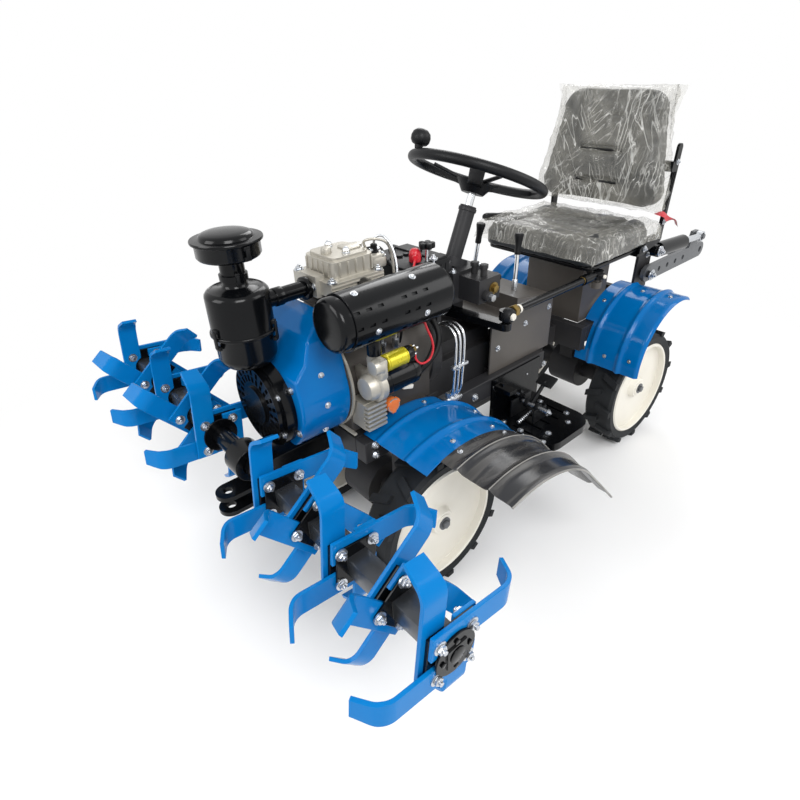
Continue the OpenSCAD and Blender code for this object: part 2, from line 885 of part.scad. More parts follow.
module lift_barrels() {
  color(black) placed() pair() on_lift() difference() {
    union() {
      bar_y(20, -10, 10, 0, 0);
      bar_x(25, 14, 200, 0, 0);
    }
    bar_y(10 + run_gap, -50, 50, 0, 0);
    bar_x(11 + run_gap, 60, 300, 0, 0);
  }
}

module lift_rods() {
  color(steel) placed() pair() on_lift() difference() {
    union() {
      bar_x(11, 70, lift_span - 10, 0, 0);
      bar_y(18, -10, 10, lift_span, 0);
    }
    bar_y(13, -50, 50, lift_span, 0);
  }
}

front_rails();
cross_members();
waist_clevis();
waist_pin();
gearbox();
front_axle();
engine_block();
cylinder_head();
fan_shroud();
recoil_starter();
air_cleaner();
muffler();
starter_motor();
oil_cooler();
battery();
battery_tray();
nose_beam();
front_clevis();
steering_box();
tank_box();
levers();
footboards();
pedals();
front_fenders();
fender_extensions();
fender_stays_front();
tine_shaft();
gang_tubes();
tines_left();
tines_right();
steering_wheel();
steer_arm();
drag_link();
rim_front_left();
rim_front_right();
rim_rear_left();
rim_rear_right();
tyre_front_left();
tyre_front_right();
tyre_rear_left();
tyre_rear_right();
waist_tongue();
rear_rails();
lift_mast();
rear_axle();
seat_pedestal();
seat_pan();
seat_cushion();
seat_backrest();
seat_brackets();
rear_fenders();
fender_stays_rear();
lift_arms();
lift_barrels();
lift_rods();
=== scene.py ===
# %% [markdown]
# # A ride-on tiller, finished for a product picture
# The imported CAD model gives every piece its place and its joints. This lesson keeps that frame
# and adds what a drawing leaves out: paint, rubber, padding, bolts, pipes and a plastic wrap.

# %% The frame
import bpy
import bmesh
import json
import math
from mathutils import Matrix, Vector, noise

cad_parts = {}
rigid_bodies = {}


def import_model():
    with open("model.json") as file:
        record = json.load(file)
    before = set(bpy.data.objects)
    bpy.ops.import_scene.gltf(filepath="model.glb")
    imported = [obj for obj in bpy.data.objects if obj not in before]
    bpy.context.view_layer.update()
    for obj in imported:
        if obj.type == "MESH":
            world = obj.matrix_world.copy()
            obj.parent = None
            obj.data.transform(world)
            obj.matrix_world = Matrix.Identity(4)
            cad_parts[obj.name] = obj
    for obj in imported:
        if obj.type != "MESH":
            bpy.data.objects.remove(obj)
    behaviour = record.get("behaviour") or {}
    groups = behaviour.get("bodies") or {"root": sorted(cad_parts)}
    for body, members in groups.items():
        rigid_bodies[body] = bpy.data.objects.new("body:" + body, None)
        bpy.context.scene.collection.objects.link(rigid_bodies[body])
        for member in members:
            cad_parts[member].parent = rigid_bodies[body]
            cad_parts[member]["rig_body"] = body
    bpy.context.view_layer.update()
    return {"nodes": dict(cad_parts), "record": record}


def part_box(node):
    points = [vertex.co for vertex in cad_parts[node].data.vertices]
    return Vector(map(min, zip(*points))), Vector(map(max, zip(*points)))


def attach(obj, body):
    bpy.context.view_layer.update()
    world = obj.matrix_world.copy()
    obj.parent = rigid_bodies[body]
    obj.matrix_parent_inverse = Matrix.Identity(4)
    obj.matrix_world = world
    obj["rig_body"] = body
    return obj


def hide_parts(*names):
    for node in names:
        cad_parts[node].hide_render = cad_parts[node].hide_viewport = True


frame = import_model()
nodes = frame["nodes"]
RIM_RADIUS = 0.172
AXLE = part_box("rim_front_left")[0].x + RIM_RADIUS
slot_name = {p["node"]: p["material_slot"] for p in frame["record"]["subparts"]}
print("CAD nodes:", len(nodes), "front axle at", round(AXLE, 4))

# %% [markdown]
# ## Small helpers
# Sizes of machine parts are in millimetres from the front axle, as in the CAD source, so a number
# can be compared with it. `P` turns such a point into metres of the shared frame. The other
# helpers each add one kind of machine part to a mesh: a turned bar, a rounded box, a bolt, a lathe
# profile. Radii and bevels are millimetres too; `mat` is the number of a material in the list that
# `finish` gets.

# %% Helpers
UP, FORWARD, LEFT = (0, 0, 1), (1, 0, 0), (0, 1, 0)


def P(x, y, z):
    return Vector((AXLE + x / 1000, y / 1000, z / 1000))


def place(p):
    """A point of the frame, from millimetres unless it is one already."""
    return p if isinstance(p, Vector) else P(*p)


def link(name, data):
    ob = bpy.data.objects.new(name, data)
    bpy.context.collection.objects.link(ob)
    return ob


def mesh_object(bm, name):
    mesh = bpy.data.meshes.new(name)
    bm.to_mesh(mesh)
    bm.free()
    return link(name, mesh)


def finish(bm, name, mat, body="front_frame", smooth=40):
    """Writes a bmesh to an object that rides on a body; edges under the angle are shaded smooth."""
    bmesh.ops.recalc_face_normals(bm, faces=bm.faces)
    for e in bm.edges:
        e.smooth = not e.is_manifold or e.calc_face_angle(0) < math.radians(smooth)
    for f in bm.faces:
        f.smooth = True
    ob = mesh_object(bm, name)
    for m in mat if isinstance(mat, list) else [mat]:
        ob.data.materials.append(m)
    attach(ob, body)
    return ob


def along(direction, roll=0.0):
    """Turn that takes +Z to a direction."""
    d = Vector(direction).normalized()
    return d.to_track_quat("Z", "Y").to_matrix().to_4x4() @ Matrix.Rotation(roll, 4, "Z")


def painted(faces, mat):
    for f in faces:
        if f.is_valid:
            f.material_index = mat


def break_edges(bm, edges, bevel, seg=2, clamp=False):
    bmesh.ops.bevel(bm, geom=edges, offset=bevel / 1000, segments=seg, profile=0.5,
                    affect="EDGES", material=-1, clamp_overlap=clamp)


def rod(bm, a, b, r, r2=None, seg=24, mat=0, bevel=0.0, roll=0.0):
    """Cylinder or cone from a to b, its rim broken by a bevel."""
    r2 = r if r2 is None else r2
    a, b = place(a), place(b)
    d = b - a
    m = Matrix.Translation((a + b) / 2) @ along(d, roll)
    new = bmesh.ops.create_cone(bm, cap_ends=True, segments=seg, radius1=r / 1000,
                                radius2=r2 / 1000, depth=d.length, matrix=m)["verts"]
    faces = {f for v in new for f in v.link_faces}
    painted(faces, mat)
    if bevel:
        rims = [e for e in {e for f in faces for e in f.edges} if len(e.link_faces) == 2
                and max(len(f.verts) for f in e.link_faces) > 4]
        break_edges(bm, rims, bevel)


def box(bm, lo, hi, bevel=0.0, mat=0, turn=None):
    """Box between two corners with its edges rounded, optionally turned about its middle."""
    lo, hi = place(lo), place(hi)
    m = Matrix.Translation((lo + hi) / 2) @ (turn or Matrix()) @ Matrix.Diagonal((*(hi - lo), 1))
    new = bmesh.ops.create_cube(bm, size=1.0, matrix=m)["verts"]
    faces = {f for v in new for f in v.link_faces}
    painted(faces, mat)
    if bevel:
        break_edges(bm, list({e for f in faces for e in f.edges}), bevel)


def bolt(bm, at, direction, r, h, mat=0, roll=0.0, stub=0.5):
    """Hexagon bolt head with its washer and thread end; `at` lies on the surface."""
    d = Vector(direction).normalized() / 1000
    at = place(at)
    foot = at + d * r * 0.25
    top = foot + d * h
    rod(bm, at - d * 0.8, foot, r * 1.5, seg=20, mat=mat)
    rod(bm, foot, top, r, seg=6, mat=mat, bevel=r * 0.12, roll=roll)
    if stub:
        rod(bm, top, top + d * r * stub, r * 0.52, seg=12, mat=mat, bevel=r * 0.1)


def side_box(bm, s, lo, hi, bevel, turn=None):
    """Box given by its corners on the left side, put on side s."""
    y0, y1 = sorted((s * lo[1], s * hi[1]))
    box(bm, (lo[0], y0, lo[2]), (hi[0], y1, hi[2]), bevel, turn=turn)


def ring(n, r, start=0):
    """Offsets of n points spread evenly round a circle."""
    turns = [math.radians(start + 360 * k / n) for k in range(n)]
    return [(r * math.cos(a), r * math.sin(a)) for a in turns]


def lathe(bm, at, direction, profile, seg=24, mat=0):
    """Turned piece: (radius, height) points in millimetres spun about an axis."""
    at = place(at)
    m = Matrix.Translation(at) @ along(direction)
    verts = [bm.verts.new(m @ Vector((r / 1000, 0, h / 1000))) for r, h in profile]
    edges = [bm.edges.new(p) for p in zip(verts, verts[1:])]
    before = set(bm.faces)
    bmesh.ops.spin(bm, geom=verts + edges, cent=at, axis=m.to_3x3() @ Vector(UP),
                   angle=math.tau, steps=seg, use_merge=True)
    new = [f for f in bm.faces if f not in before]
    bmesh.ops.remove_doubles(bm, verts=list({v for f in new for v in f.verts}), dist=1e-6)
    painted(new, mat)


def smooth_path(points, steps=8):
    """Points on a curve that runs through all the given ones."""
    q = [points[0] * 2 - points[1]] + list(points) + [points[-1] * 2 - points[-2]]
    out = []
    for a, b, c, d in zip(q, q[1:], q[2:], q[3:]):
        for k in range(steps):
            t = k / steps
            out.append(0.5 * (2 * b + (c - a) * t + (2 * a - 5 * b + 4 * c - d) * t * t
                              + (3 * b - a - 3 * c + d) * t ** 3))
    return out + [points[-1]]


TUBE_ROUNDNESS = 3


def tube(name, points, r, mat, cord=None):
    path = smooth_path([place(p) for p in points])
    cu = bpy.data.curves.new(name, "CURVE")
    cu.dimensions = "3D"
    cu.bevel_depth, cu.bevel_resolution = r / 1000, TUBE_ROUNDNESS
    cu.use_fill_caps = True
    sp = cu.splines.new("POLY")
    sp.points.add(len(path) - 1)
    for b, p in zip(sp.points, path):
        b.co = (*p, 1.0)
    sp.use_smooth = True
    ob = link(name, cu)
    cu.materials.append(mat)
    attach(ob, "front_frame")
    if cord:
        long = sum((b - a).length for a, b in zip(path, path[1:]))
        2 * r / 1000
        print(name, "cord of", round(long, 3), "m")


print("helpers ready")

# %% [markdown]
# ## Materials
# A real finish is never one flat colour: paint carries dust and a faint orange peel, castings are
# grainy, rubber is chalky; the lighter patches on the blue paint are painted highlight. `Value`
# wraps a shader socket, so a formula such as `mask * 0.5 + 0.2` builds its own Math nodes, and
# `look` mixes the finish of most pieces from two noises.

# %% Shader values
class Value:
    """A socket of a material's node tree; arithmetic on it adds Math nodes."""

    def __init__(self, tree, socket):
        self.tree, self.socket = tree, socket

    def make(self, kind, settings=None, inputs=None, out=0):
        """Any other node: its settings first, then the values or links of its sockets."""
        n = self.tree.nodes.new(kind)
        for key, val in (settings or {}).items():
            setattr(n, key, val)
        for key, val in (inputs or {}).items():
            if isinstance(val, Value):
                self.tree.links.new(val.socket, n.inputs[key])
            else:
                n.inputs[key].default_value = val
        return Value(self.tree, n.outputs[out])

    def math(self, op, *args):
        return self.make("ShaderNodeMath", {"operation": op}, dict(enumerate(args)))

    def noise(self, scale, detail=3.0, distort=0.0):
        return self.make("ShaderNodeTexNoise", {}, {"Vector": self, "Scale": scale,
                                                    "Detail": detail, "Distortion": distort})

    def ramp(self, a, b, c=0.0, d=1.0):
        """Maps the range a..b to c..d and holds it there."""
        return self.make("ShaderNodeMapRange", {}, {0: self, 1: a, 2: b, 3: c, 4: d})

    def stretch(self, by):
        return self.make("ShaderNodeVectorMath", {"operation": "MULTIPLY"}, {0: self, 1: by})

    def bump(self, strength, distance):
        """This value as the height of a relief."""
        return self.make("ShaderNodeBump", {}, {"Strength": strength, "Distance": distance,
                                                "Height": self})

    def __add__(self, other):
        return self.math("ADD", self, other)

    def __mul__(self, other):
        return self.math("MULTIPLY", self, other)

    def __sub__(self, other):
        return self.math("SUBTRACT", self, other)

    def mix(self, a, b):
        """This value as the factor between two colours."""
        return self.make("ShaderNodeMix", {"data_type": "RGBA"}, {0: self, 6: a, 7: b}, out=2)


def rgb(text):
    """Screen colour such as 1b87d6 as the linear values that shaders use."""
    c = [int(text[i:i + 2], 16) / 255 for i in (0, 2, 4)]
    return tuple(v / 12.92 if v < 0.04045 else ((v + 0.055) / 1.055) ** 2.4 for v in c) + (1.0,)


def material(name):
    m = bpy.data.materials.new(name)
    m.use_nodes = True
    tree = m.node_tree
    at = Value(tree, tree.nodes.new("ShaderNodeTexCoord").outputs["Object"])
    return m, tree, tree.nodes["Principled BSDF"], at


def put(tree, bsdf, **inputs):
    """Sets inputs of the shader, by value or link; underscores stand for spaces."""
    for key, val in inputs.items():
        socket = bsdf.inputs[key.replace("_", " ")]
        if isinstance(val, Value):
            tree.links.new(val.socket, socket)
        else:
            socket.default_value = val


GRAIN_DEPTH = 0.0006


def look(name, colour, dust_and_highlight, rough, spread, grain, bump, metal=0.0, amount=0.35, shine=0.5):
    """Finish from a colour, a second colour laid on by a broad noise, and a fine grain.
    The second colour is dust on most finishes and painted highlight on the blue paint.
    """
    m, tree, bsdf, at = material(name)
    fine = at.noise(grain)
    mask = at.noise(9.0, 5.0).ramp(0.42, 0.78, 0.0, amount)
    put(tree, bsdf, Base_Color=mask.mix(rgb(colour), rgb(dust_and_highlight)),
        Roughness=mask * spread + fine * 0.06 + (rough - 0.03), Metallic=metal,
        Specular_IOR_Level=shine, Normal=fine.bump(bump, GRAIN_DEPTH))
    return m


# %% The finishes of the machine
# Colour, dust colour (on the blue paint a lighter blue that is painted highlight), roughness and
# how far dust raises it, size of the grain and its relief.
# The lighter blue laid on by the broad noise here is painted highlight.
blue = look("blue_paint", "0062a6", "0876b8", 0.1, 0.12, 300, 0.012, shine=0.16)
black = look("black_paint", "07080a", "101215", 0.16, 0.12, 200, 0.008, shine=0.2)
satin = look("satin_black", "101113", "232426", 0.42, 0.15, 400, 0.08, shine=0.2)
dark = look("dark_frame", "2b2b2d", "3d3b39", 0.42, 0.2, 200, 0.08, shine=0.2)
panel = look("grey_panel", "4b4743", "5d5852", 0.36, 0.2, 160, 0.05, shine=0.4)
# The engine block's casting is darkened partly for its darker metal and partly as painted shade
# under the muffler and behind the starter; its second colour is darker still.
shaded_casting = look("dark_casting_and_painted_shade", "4d4945", "353230", 0.45, 0.2, 220, 0.25, metal=0.3, shine=0.3)
alloy = look("cast_alloy", "b7b3a9", "8a857b", 0.42, 0.2, 220, 0.25, metal=0.6)
steel = look("zinc_steel", "c9ccd0", "9da1a6", 0.26, 0.2, 200, 0.05, metal=0.95)
chrome = look("bright_chrome", "e4e6e8", "c4c8cc", 0.1, 0.1, 90, 0.02, metal=1.0)
white = look("rim_white", "e3dfd4", "cfc9bb", 0.34, 0.2, 220, 0.05)
rubber = look("tyre_rubber", "1c1e20", "3a3c3e", 0.62, 0.2, 260, 0.3, shine=0.2)
vinyl = look("seat_vinyl", "222528", "33373b", 0.36, 0.12, 420, 0.2, shine=0.4)
plastic = look("black_plastic", "0e0f11", "222426", 0.42, 0.15, 500, 0.15, shine=0.2)
grey = look("grey_steel", "5c5e61", "77797c", 0.36, 0.2, 180, 0.06, metal=0.3)
tine_blue = look("tine_blue", "046fb4", "1180c4", 0.16, 0.14, 300, 0.012, shine=0.1)
tube_steel = look("tube_steel", "5b5e62", "2b2d30", 0.26, 0.2, 160, 0.06, metal=0.7, amount=0.7)
# Pale grey of the extension beads: painted highlight along the ridges and the outer edge.
highlight_grey = look("painted_highlight_grey", "8b8985", "4d4c4a", 0.4, 0.2, 90, 0.05, amount=0.9)
yellow = look("yellow_zinc", "c4b824", "ddd45c", 0.28, 0.15, 120, 0.05, metal=0.45)
brass = look("yellow_brass", "8f7843", "6d5930", 0.34, 0.15, 120, 0.05, metal=0.85)
orange = look("orange_cap", "d96f30", "ee9a60", 0.4, 0.1, 200, 0.08)
red = look("red_plastic", "c41f2c", "dd4349", 0.35, 0.1, 240, 0.08)
cable = look("cable_sheath", "0d0d0e", "262626", 0.5, 0.1, 500, 0.1, shine=0.2)
print("finishes mixed")


# %% Smoked plastic and clear film
def smoked_plastic():
    """Dark plastic sheet with pale, rougher streaks that run the way its ridges run."""
    m, tree, bsdf, at = material("smoked_plastic")
    pale_streaks = at.stretch((5.0, 26.0, 5.0)).noise(1.0, 6.0, 1.2).ramp(0.45, 0.72, 0.0, 0.75)
    put(tree, bsdf, Base_Color=pale_streaks.mix(rgb("26272a"), rgb("5c5a57")),
        Roughness=pale_streaks * 0.25 + 0.2, Specular_IOR_Level=0.35, Normal=pale_streaks.bump(0.2, 0.001))
    return m


# Turn, stretch and width of three crossing sets of creases, drawn as streaks of painted highlight.
HIGHLIGHT_STREAKS = ((0.15, (60.0, 60.0, 5.0), 0.05), (-0.45, (50.0, 50.0, 6.0), 0.035),
           (0.8, (70.0, 70.0, 11.0), 0.035))


def plastic_film():
    """Clear wrap: nearly invisible between its creases, with painted highlight along them: pale and
    shiny streaks.
    """
    m, tree, bsdf, at = material("plastic_film")
    highlight_streak = None
    for turn, stretch, width in HIGHLIGHT_STREAKS:
        way = at.make("ShaderNodeVectorRotate", {"rotation_type": "X_AXIS"},
                      {"Vector": at, "Angle": turn})
        n = way.stretch(stretch).noise(1.0, 0.5, 0.1)
        broken = way.noise(9.0, 1.5).ramp(0.42, 0.64)
        line = n.math("ABSOLUTE", n - 0.5).ramp(0.0, width, 1.0, 0.0) * broken
        highlight_streak = line if highlight_streak is None else highlight_streak.math("MAXIMUM", highlight_streak, line)
    haze = at.noise(8.0, 2.0, 0.4).ramp(0.35, 0.7, 0.16, 0.34)
    # Near white and more opaque along the streaks: painted highlight on the creases.
    put(tree, bsdf, Base_Color=highlight_streak.mix(rgb("b9b6ab"), rgb("eeeeea")),
        Roughness=haze * 0.4 + 0.08, Specular_IOR_Level=0.7, Alpha=haze + highlight_streak * 0.38,
        Normal=at.noise(22.0, 2.0, 0.6).bump(0.8, 0.006))
    return m


smoked, film = smoked_plastic(), plastic_film()
slot_of = {"dark_frame": dark, "bright_steel": steel, "cast_alloy": alloy, "blue_paint": blue,
           "black_paint": black, "black_plastic": plastic, "grey_panel": panel,
           "smoked_plastic": smoked, "rim_white": white, "tyre_rubber": rubber,
           "seat_vinyl": vinyl, "grey_steel": grey}
for part, ob in nodes.items():
    ob.data.materials.clear()
    ob.data.materials.append(slot_of[slot_name[part]])
print("material slots:", len(slot_of))

# %% [markdown]
# ## Camera and studio
# The camera was measured from the photograph: it stands close, a little above the backrest and
# ahead of the left front wheel, with a wide lens, so near tines loom and the seat shrinks.
# The floor keeps the shadow near the machine and fades to plain white further out.

# %% Camera
def camera(at, yaw, pitch, roll, lens):
    yaw, pitch, roll = (math.radians(a) for a in (yaw, pitch, roll))
    flat = math.cos(pitch)
    look_at = Vector((flat * math.cos(yaw), flat * math.sin(yaw), math.sin(pitch)))
    right = look_at.cross(Vector(UP)).normalized()
    up = right.cross(look_at)
    r = right * math.cos(roll) + up * math.sin(roll)
    u = up * math.cos(roll) - right * math.sin(roll)
    cam = link("camera", bpy.data.cameras.new("camera"))
    m = Matrix((r, u, -look_at)).transposed().to_4x4()
    m.translation = at
    cam.matrix_world = m
    cam.data.lens = lens
    cam.data.clip_start = 0.02
    bpy.context.scene.camera = cam


camera(P(779.6, 1039.6, 1277.3), yaw=229.76, pitch=-31.82, roll=-2.10, lens=25.0)
print("camera set")


# %% Studio
def seen_directly(tree):
    """1 where the camera, a reflection or a clear sheet looks, 0 where light only bounces."""
    path = tree.nodes.new("ShaderNodeLightPath")
    rays = ("Is Camera Ray", "Is Glossy Ray", "Is Transmission Ray")
    a, b, c = (Value(tree, path.outputs[n]) for n in rays)
    return a.math("MAXIMUM", a, a.math("MAXIMUM", b, c))


FADE_FROM, FADE_TO = 1.15, 2.1
FLOOR_HALF = 9.0
# Name, place, size and power of each lamp.
LAMPS = (("key", (1.6, 2.6, 3.0), 1.6, 95), ("fill", (-2.2, 2.4, 2.6), 2.0, 45),
         ("back", (-2.4, -2.2, 3.2), 2.0, 60), ("front", (3.2, -0.6, 2.2), 1.6, 45))


def floor_paper():
    """Pale paper that becomes the white of the background with the distance from the machine."""
    m, tree, bsdf, at = material("floor_paper")
    put(tree, bsdf, Base_Color=at.noise(3.0).mix(rgb("f6f6f6"), rgb("f2f2f2")), Roughness=0.9,
        Specular_IOR_Level=0.1)
    far = at.make("ShaderNodeVectorMath", {"operation": "LENGTH"}, {0: at}, out=1)
    far = far.ramp(FADE_FROM, FADE_TO)
    glow = tree.nodes.new("ShaderNodeEmission")
    glow.inputs["Color"].default_value = (1, 1, 1, 1)
    both = tree.nodes.new("ShaderNodeMixShader")
    tree.links.new((far * seen_directly(tree)).socket, both.inputs[0])
    tree.links.new(bsdf.outputs[0], both.inputs[1])
    tree.links.new(glow.outputs[0], both.inputs[2])
    tree.links.new(both.outputs[0], tree.nodes["Material Output"].inputs["Surface"])
    return m


def studio():
    """Pale floor, soft lamps and a background that is white to the camera."""
    bm = bmesh.new()
    bmesh.ops.create_grid(bm, x_segments=1, y_segments=1, size=FLOOR_HALF)
    floor = mesh_object(bm, "floor")
    floor.data.materials.append(floor_paper())
    for name, at, size, power in LAMPS:
        lamp = bpy.data.lights.new(name, "AREA")
        lamp.energy, lamp.size = power, size
        ob = link(name, lamp)
        ob.location = at
        ob.rotation_euler = (Vector((0, 0, 0.5)) - Vector(at)).to_track_quat("-Z", "Y").to_euler()
    world = bpy.data.worlds.new("studio")
    bpy.context.scene.world = world
    world.use_nodes = True
    tree = world.node_tree
    bg = tree.nodes["Background"]
    bg.inputs["Color"].default_value = (1, 1, 1, 1)
    tree.links.new((seen_directly(tree) * 0.5 + 0.5).socket, bg.inputs["Strength"])
    bpy.context.scene.view_settings.view_transform = "Standard"


studio()
print("lamps:", len(LAMPS))

# %% [markdown]
# ## Castings and plates with broken edges
# No edge on a real machine is perfectly sharp, and it is the thin bright line along an edge that
# makes metal look like metal. Each rigid node is copied, its triangles are merged back to whole
# faces, and its corners are bevelled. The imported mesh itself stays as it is.

# %% Broken edges
SHARP = math.radians(28)
PLAIN_EDGE, PLAIN_STEPS = 1.5, 2


def soften(node, width, seg, mat):
    """A copy of a CAD node with rounded edges, shown instead of it."""
    bm = bmesh.new()
    bm.from_mesh(nodes[node].data)
    bmesh.ops.remove_doubles(bm, verts=bm.verts, dist=2e-5)
    bmesh.ops.dissolve_limit(bm, angle_limit=math.radians(0.7), verts=bm.verts, edges=bm.edges)
    sharp = [e for e in bm.edges if e.is_manifold and e.calc_face_angle(0) > SHARP]
    break_edges(bm, sharp, width, seg, clamp=True)
    slot = slot_name[node]
    ob = finish(bm, node + "_shape", mat or slot_of[slot], nodes[node]["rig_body"], 50)
    ob.modifiers.new("even", "WEIGHTED_NORMAL").keep_sharp = True
    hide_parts(node)


own_shape = {"front_fenders", "fender_extensions", "rear_fenders", "seat_cushion", "seat_backrest",
             "muffler", "starter_motor", "air_cleaner", "levers"}
edge = {"fan_shroud": 11, "gearbox": 5, "steering_box": 5, "battery": 4, "cylinder_head": 3,
        "nose_beam": 4, "front_rails": 3, "rear_rails": 3, "engine_block": 1.4, "oil_cooler": 1.2,
        "gang_tubes": 1.2, "tines_left": 1.1, "tines_right": 1.1, "seat_pedestal": 4, "seat_pan": 3,
        "steering_wheel": 2.5, "footboards": 2.5, "tank_box": 2}
finer = {"fan_shroud": 4, "steering_box": 3, "steering_wheel": 3}
# The engine block takes the casting that carries painted shade.
paint = {"tines_left": tine_blue, "tines_right": tine_blue, "engine_block": shaded_casting,
         "gang_tubes": black, "nose_beam": black, "battery": plastic, "steering_wheel": plastic}
for part in nodes:
    if part not in own_shape:
        soften(part, edge.get(part, PLAIN_EDGE), finer.get(part, PLAIN_STEPS), paint.get(part))
print("softened nodes:", len(nodes) - len(own_shape))

# %% [markdown]
# ## Fenders
# A fender is one pressed sheet: its cross section carries two rounded ridges and a turned edge, and
# it is swept round the wheel. A row of points is spun about the wheel's axis, cut back where the
# frame passes, and given its thickness.

# %% Fender sweep
FRONT_ARCH, REAR_ARCH = (0, 216, 300), (-1013, 374, 200)  # x and z of the middle, radius
SHEET, HEM = 3, 12
EXTENSION_FROM, EXTENSION_TO, EXTENSION_TAIL = 74, 138, 205


def cross_section(r, y0, y1, ribs, rib, edge_in, edge_out):
    """Points (y, radius) across a fender: rounded ridges, and edges that turn down."""
    row = []
    n = int((y1 - y0) / 3.5)
    for k in range(n + 1):
        y = y0 + (y1 - y0) * k / n
        h = sum(rib[0] * math.exp(-((y - c) / rib[1]) ** 2) for c in ribs)
        if edge_out and y > y1 - HEM:
            h -= edge_out * ((y - y1 + HEM) / HEM) ** 2
        if edge_in and y < y0 + HEM:
            h -= edge_in * ((y0 + HEM - y) / HEM) ** 2
        row.append((y, r + SHEET + h))
    return row


def cut_away(bm, before, side, lo, hi):
    """Removes the new faces inside a box, after cutting them along its sides."""
    planes = [(k, c[k] * (side if k == 1 else 1)) for k in range(3) for c in (lo, hi)]
    for k, edge_at in planes:
        here = [f for f in bm.faces if f not in before]
        at = P(*[edge_at if i == k else 0 for i in range(3)])
        edges, verts = {e for f in here for e in f.edges}, {v for f in here for v in f.verts}
        bmesh.ops.bisect_plane(bm, geom=here + list(edges) + list(verts), plane_co=at,
                               plane_no=[float(i == k) for i in range(3)], dist=1e-5)
    gone = []
    for f in (f for f in bm.faces if f not in before):
        c = f.calc_center_median()
        at = ((c.x - AXLE) * 1000, c.y * 1000 * side, c.z * 1000)
        if all(l < v < h for l, v, h in zip(lo, at, hi)):
            gone.append(f)
    bmesh.ops.delete(bm, geom=gone, context="FACES")


def fender(bm, side, arch, a0, a1, y0, y1, ribs, rib=(8, 8), edge_in=0, edge_out=0, tail=0,
           cuts=()):
    """One fender sheet from angle a0 to a1 round an arch, with a straight tail if asked for."""
    x, z, r = arch
    row = cross_section(r, y0, y1, ribs, rib, edge_in, edge_out)
    a, b = math.radians(a0), math.radians(a1)
    verts = [bm.verts.new(P(x + q * math.cos(a), side * y, z + q * math.sin(a))) for y, q in row]
    edges = [bm.edges.new(p) for p in zip(verts, verts[1:])]
    before = set(bm.faces)
    centre = P(x, 0, z)
    last = bmesh.ops.spin(bm, geom=verts + edges, cent=centre, axis=(0, -1, 0),
                          angle=math.radians(a1 - a0), steps=36)["geom_last"]
    if tail:
        rim = [e for e in last if isinstance(e, bmesh.types.BMEdge)]
        got = bmesh.ops.extrude_edge_only(bm, edges=rim)["geom"]
        bmesh.ops.translate(bm, vec=Vector((-math.sin(b), 0, math.cos(b))) * tail / 1000,
                            verts=[v for v in got if isinstance(v, bmesh.types.BMVert)])
    for lo, hi in cuts:
        cut_away(bm, before, side, lo, hi)
    new = [f for f in bm.faces if f not in before]
    for f in new:
        f.normal_update()
        out = f.calc_center_median() - centre
        if f.normal.dot(Vector((out.x, 0, out.z))) < 0:
            f.normal_flip()
    bmesh.ops.solidify(bm, geom=new, thickness=SHEET / 1000)


# %% Fender sheets
bm = bmesh.new()
for side in (1, -1):
    fender(bm, side, FRONT_ARCH, 65, 155, 124, 349.6, (181, 284), edge_in=3,
           cuts=[((-600, 0, 300), (-110, 163, 600))])
ob = finish(bm, "front_fender_sheets", blue, smooth=60)
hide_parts("front_fenders")
bm = bmesh.new()
for side in (1, -1):
    fender(bm, side, FRONT_ARCH, EXTENSION_FROM, EXTENSION_TO, 350, 552, (401, 491), rib=(9, 9),
           edge_out=7, tail=EXTENSION_TAIL)
ob = finish(bm, "fender_extension_sheets", smoked, smooth=60)
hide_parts("fender_extensions")
bm = bmesh.new()
for side in (1, -1):
    fender(bm, side, REAR_ARCH, -5, 112, 118, 350, (176, 280), edge_out=9,
           cuts=[((-1300, 0, 394), (-760, 152, 490)), ((-1300, 0, 300), (-1054, 192, 800))])
ob = finish(bm, "rear_fender_sheets", blue, "rear_frame", 60)
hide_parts("rear_fenders")
print("fender sheets swept")

# %% [markdown]
# Thin pale tubes follow the extensions' ridges and their outer edge round the arch and down the
# tail: rolled beads whose pale grey is painted highlight. Small bolts hold the sheets.

# %% Painted highlight beads and fender bolts
def on_arch(arch, angle, y, h=0):
    """A point on a fender's outside, lifted by h, and the direction out of the sheet there."""
    x, z, r = arch
    out = Vector((math.cos(math.radians(angle)), 0, math.sin(math.radians(angle))))
    return P(x, y, z) + out * (r + SHEET + h) / 1000, out


a = math.radians(EXTENSION_TO)
tail_way = Vector((-math.sin(a), 0, math.cos(a)))
lines = [(s, y, h) for s in (1, -1) for y, h in ((550.5, -6), (401, 9), (491, 9))]
# Rolled beads in pale grey, which paints the highlight along each ridge and edge.
for k, (s, y, h) in enumerate(lines):
    line = [on_arch(FRONT_ARCH, angle, s * y, h)[0]
            for angle in range(EXTENSION_FROM, EXTENSION_TO + 1, 8)]
    line += [line[-1] + tail_way * d for d in (0.1, EXTENSION_TAIL / 1000)]
    tube(f"extension_highlight_bead_{k}", line, 1.5 if h > 0 else 2.5, highlight_grey)
bm = bmesh.new()
for s in (1, -1):
    for angle, y in ((86, 326), (83, 364), (113, 364), (112, 330), (122, 232), (100, 152),
            (128, 372)):
        at, out = on_arch(FRONT_ARCH, angle, s * y)
        bolt(bm, at, out, 4.5, 3, stub=0)
finish(bm, "front_fender_bolts", steel)
bm = bmesh.new()
for s in (1, -1):
    for angle, y in ((7, 228), (10, 314), (58, 144), (85, 228), (88, 318)):
        at, out = on_arch(REAR_ARCH, angle, s * y)
        bolt(bm, at, out, 4.5, 3, stub=0)
finish(bm, "rear_fender_bolts", steel, "rear_frame")
print("beads:", len(lines), "- fender bolts set")

# %% [markdown]
# ## Rotor fittings
# The tines are bolted through their flanges, so each flange carries four bright heads on one face
# and four nuts on the other. They are what gives the rotor its scale. Caps close the rotor's ends,
# and plain sleeves cover the square tubes between the flanges.

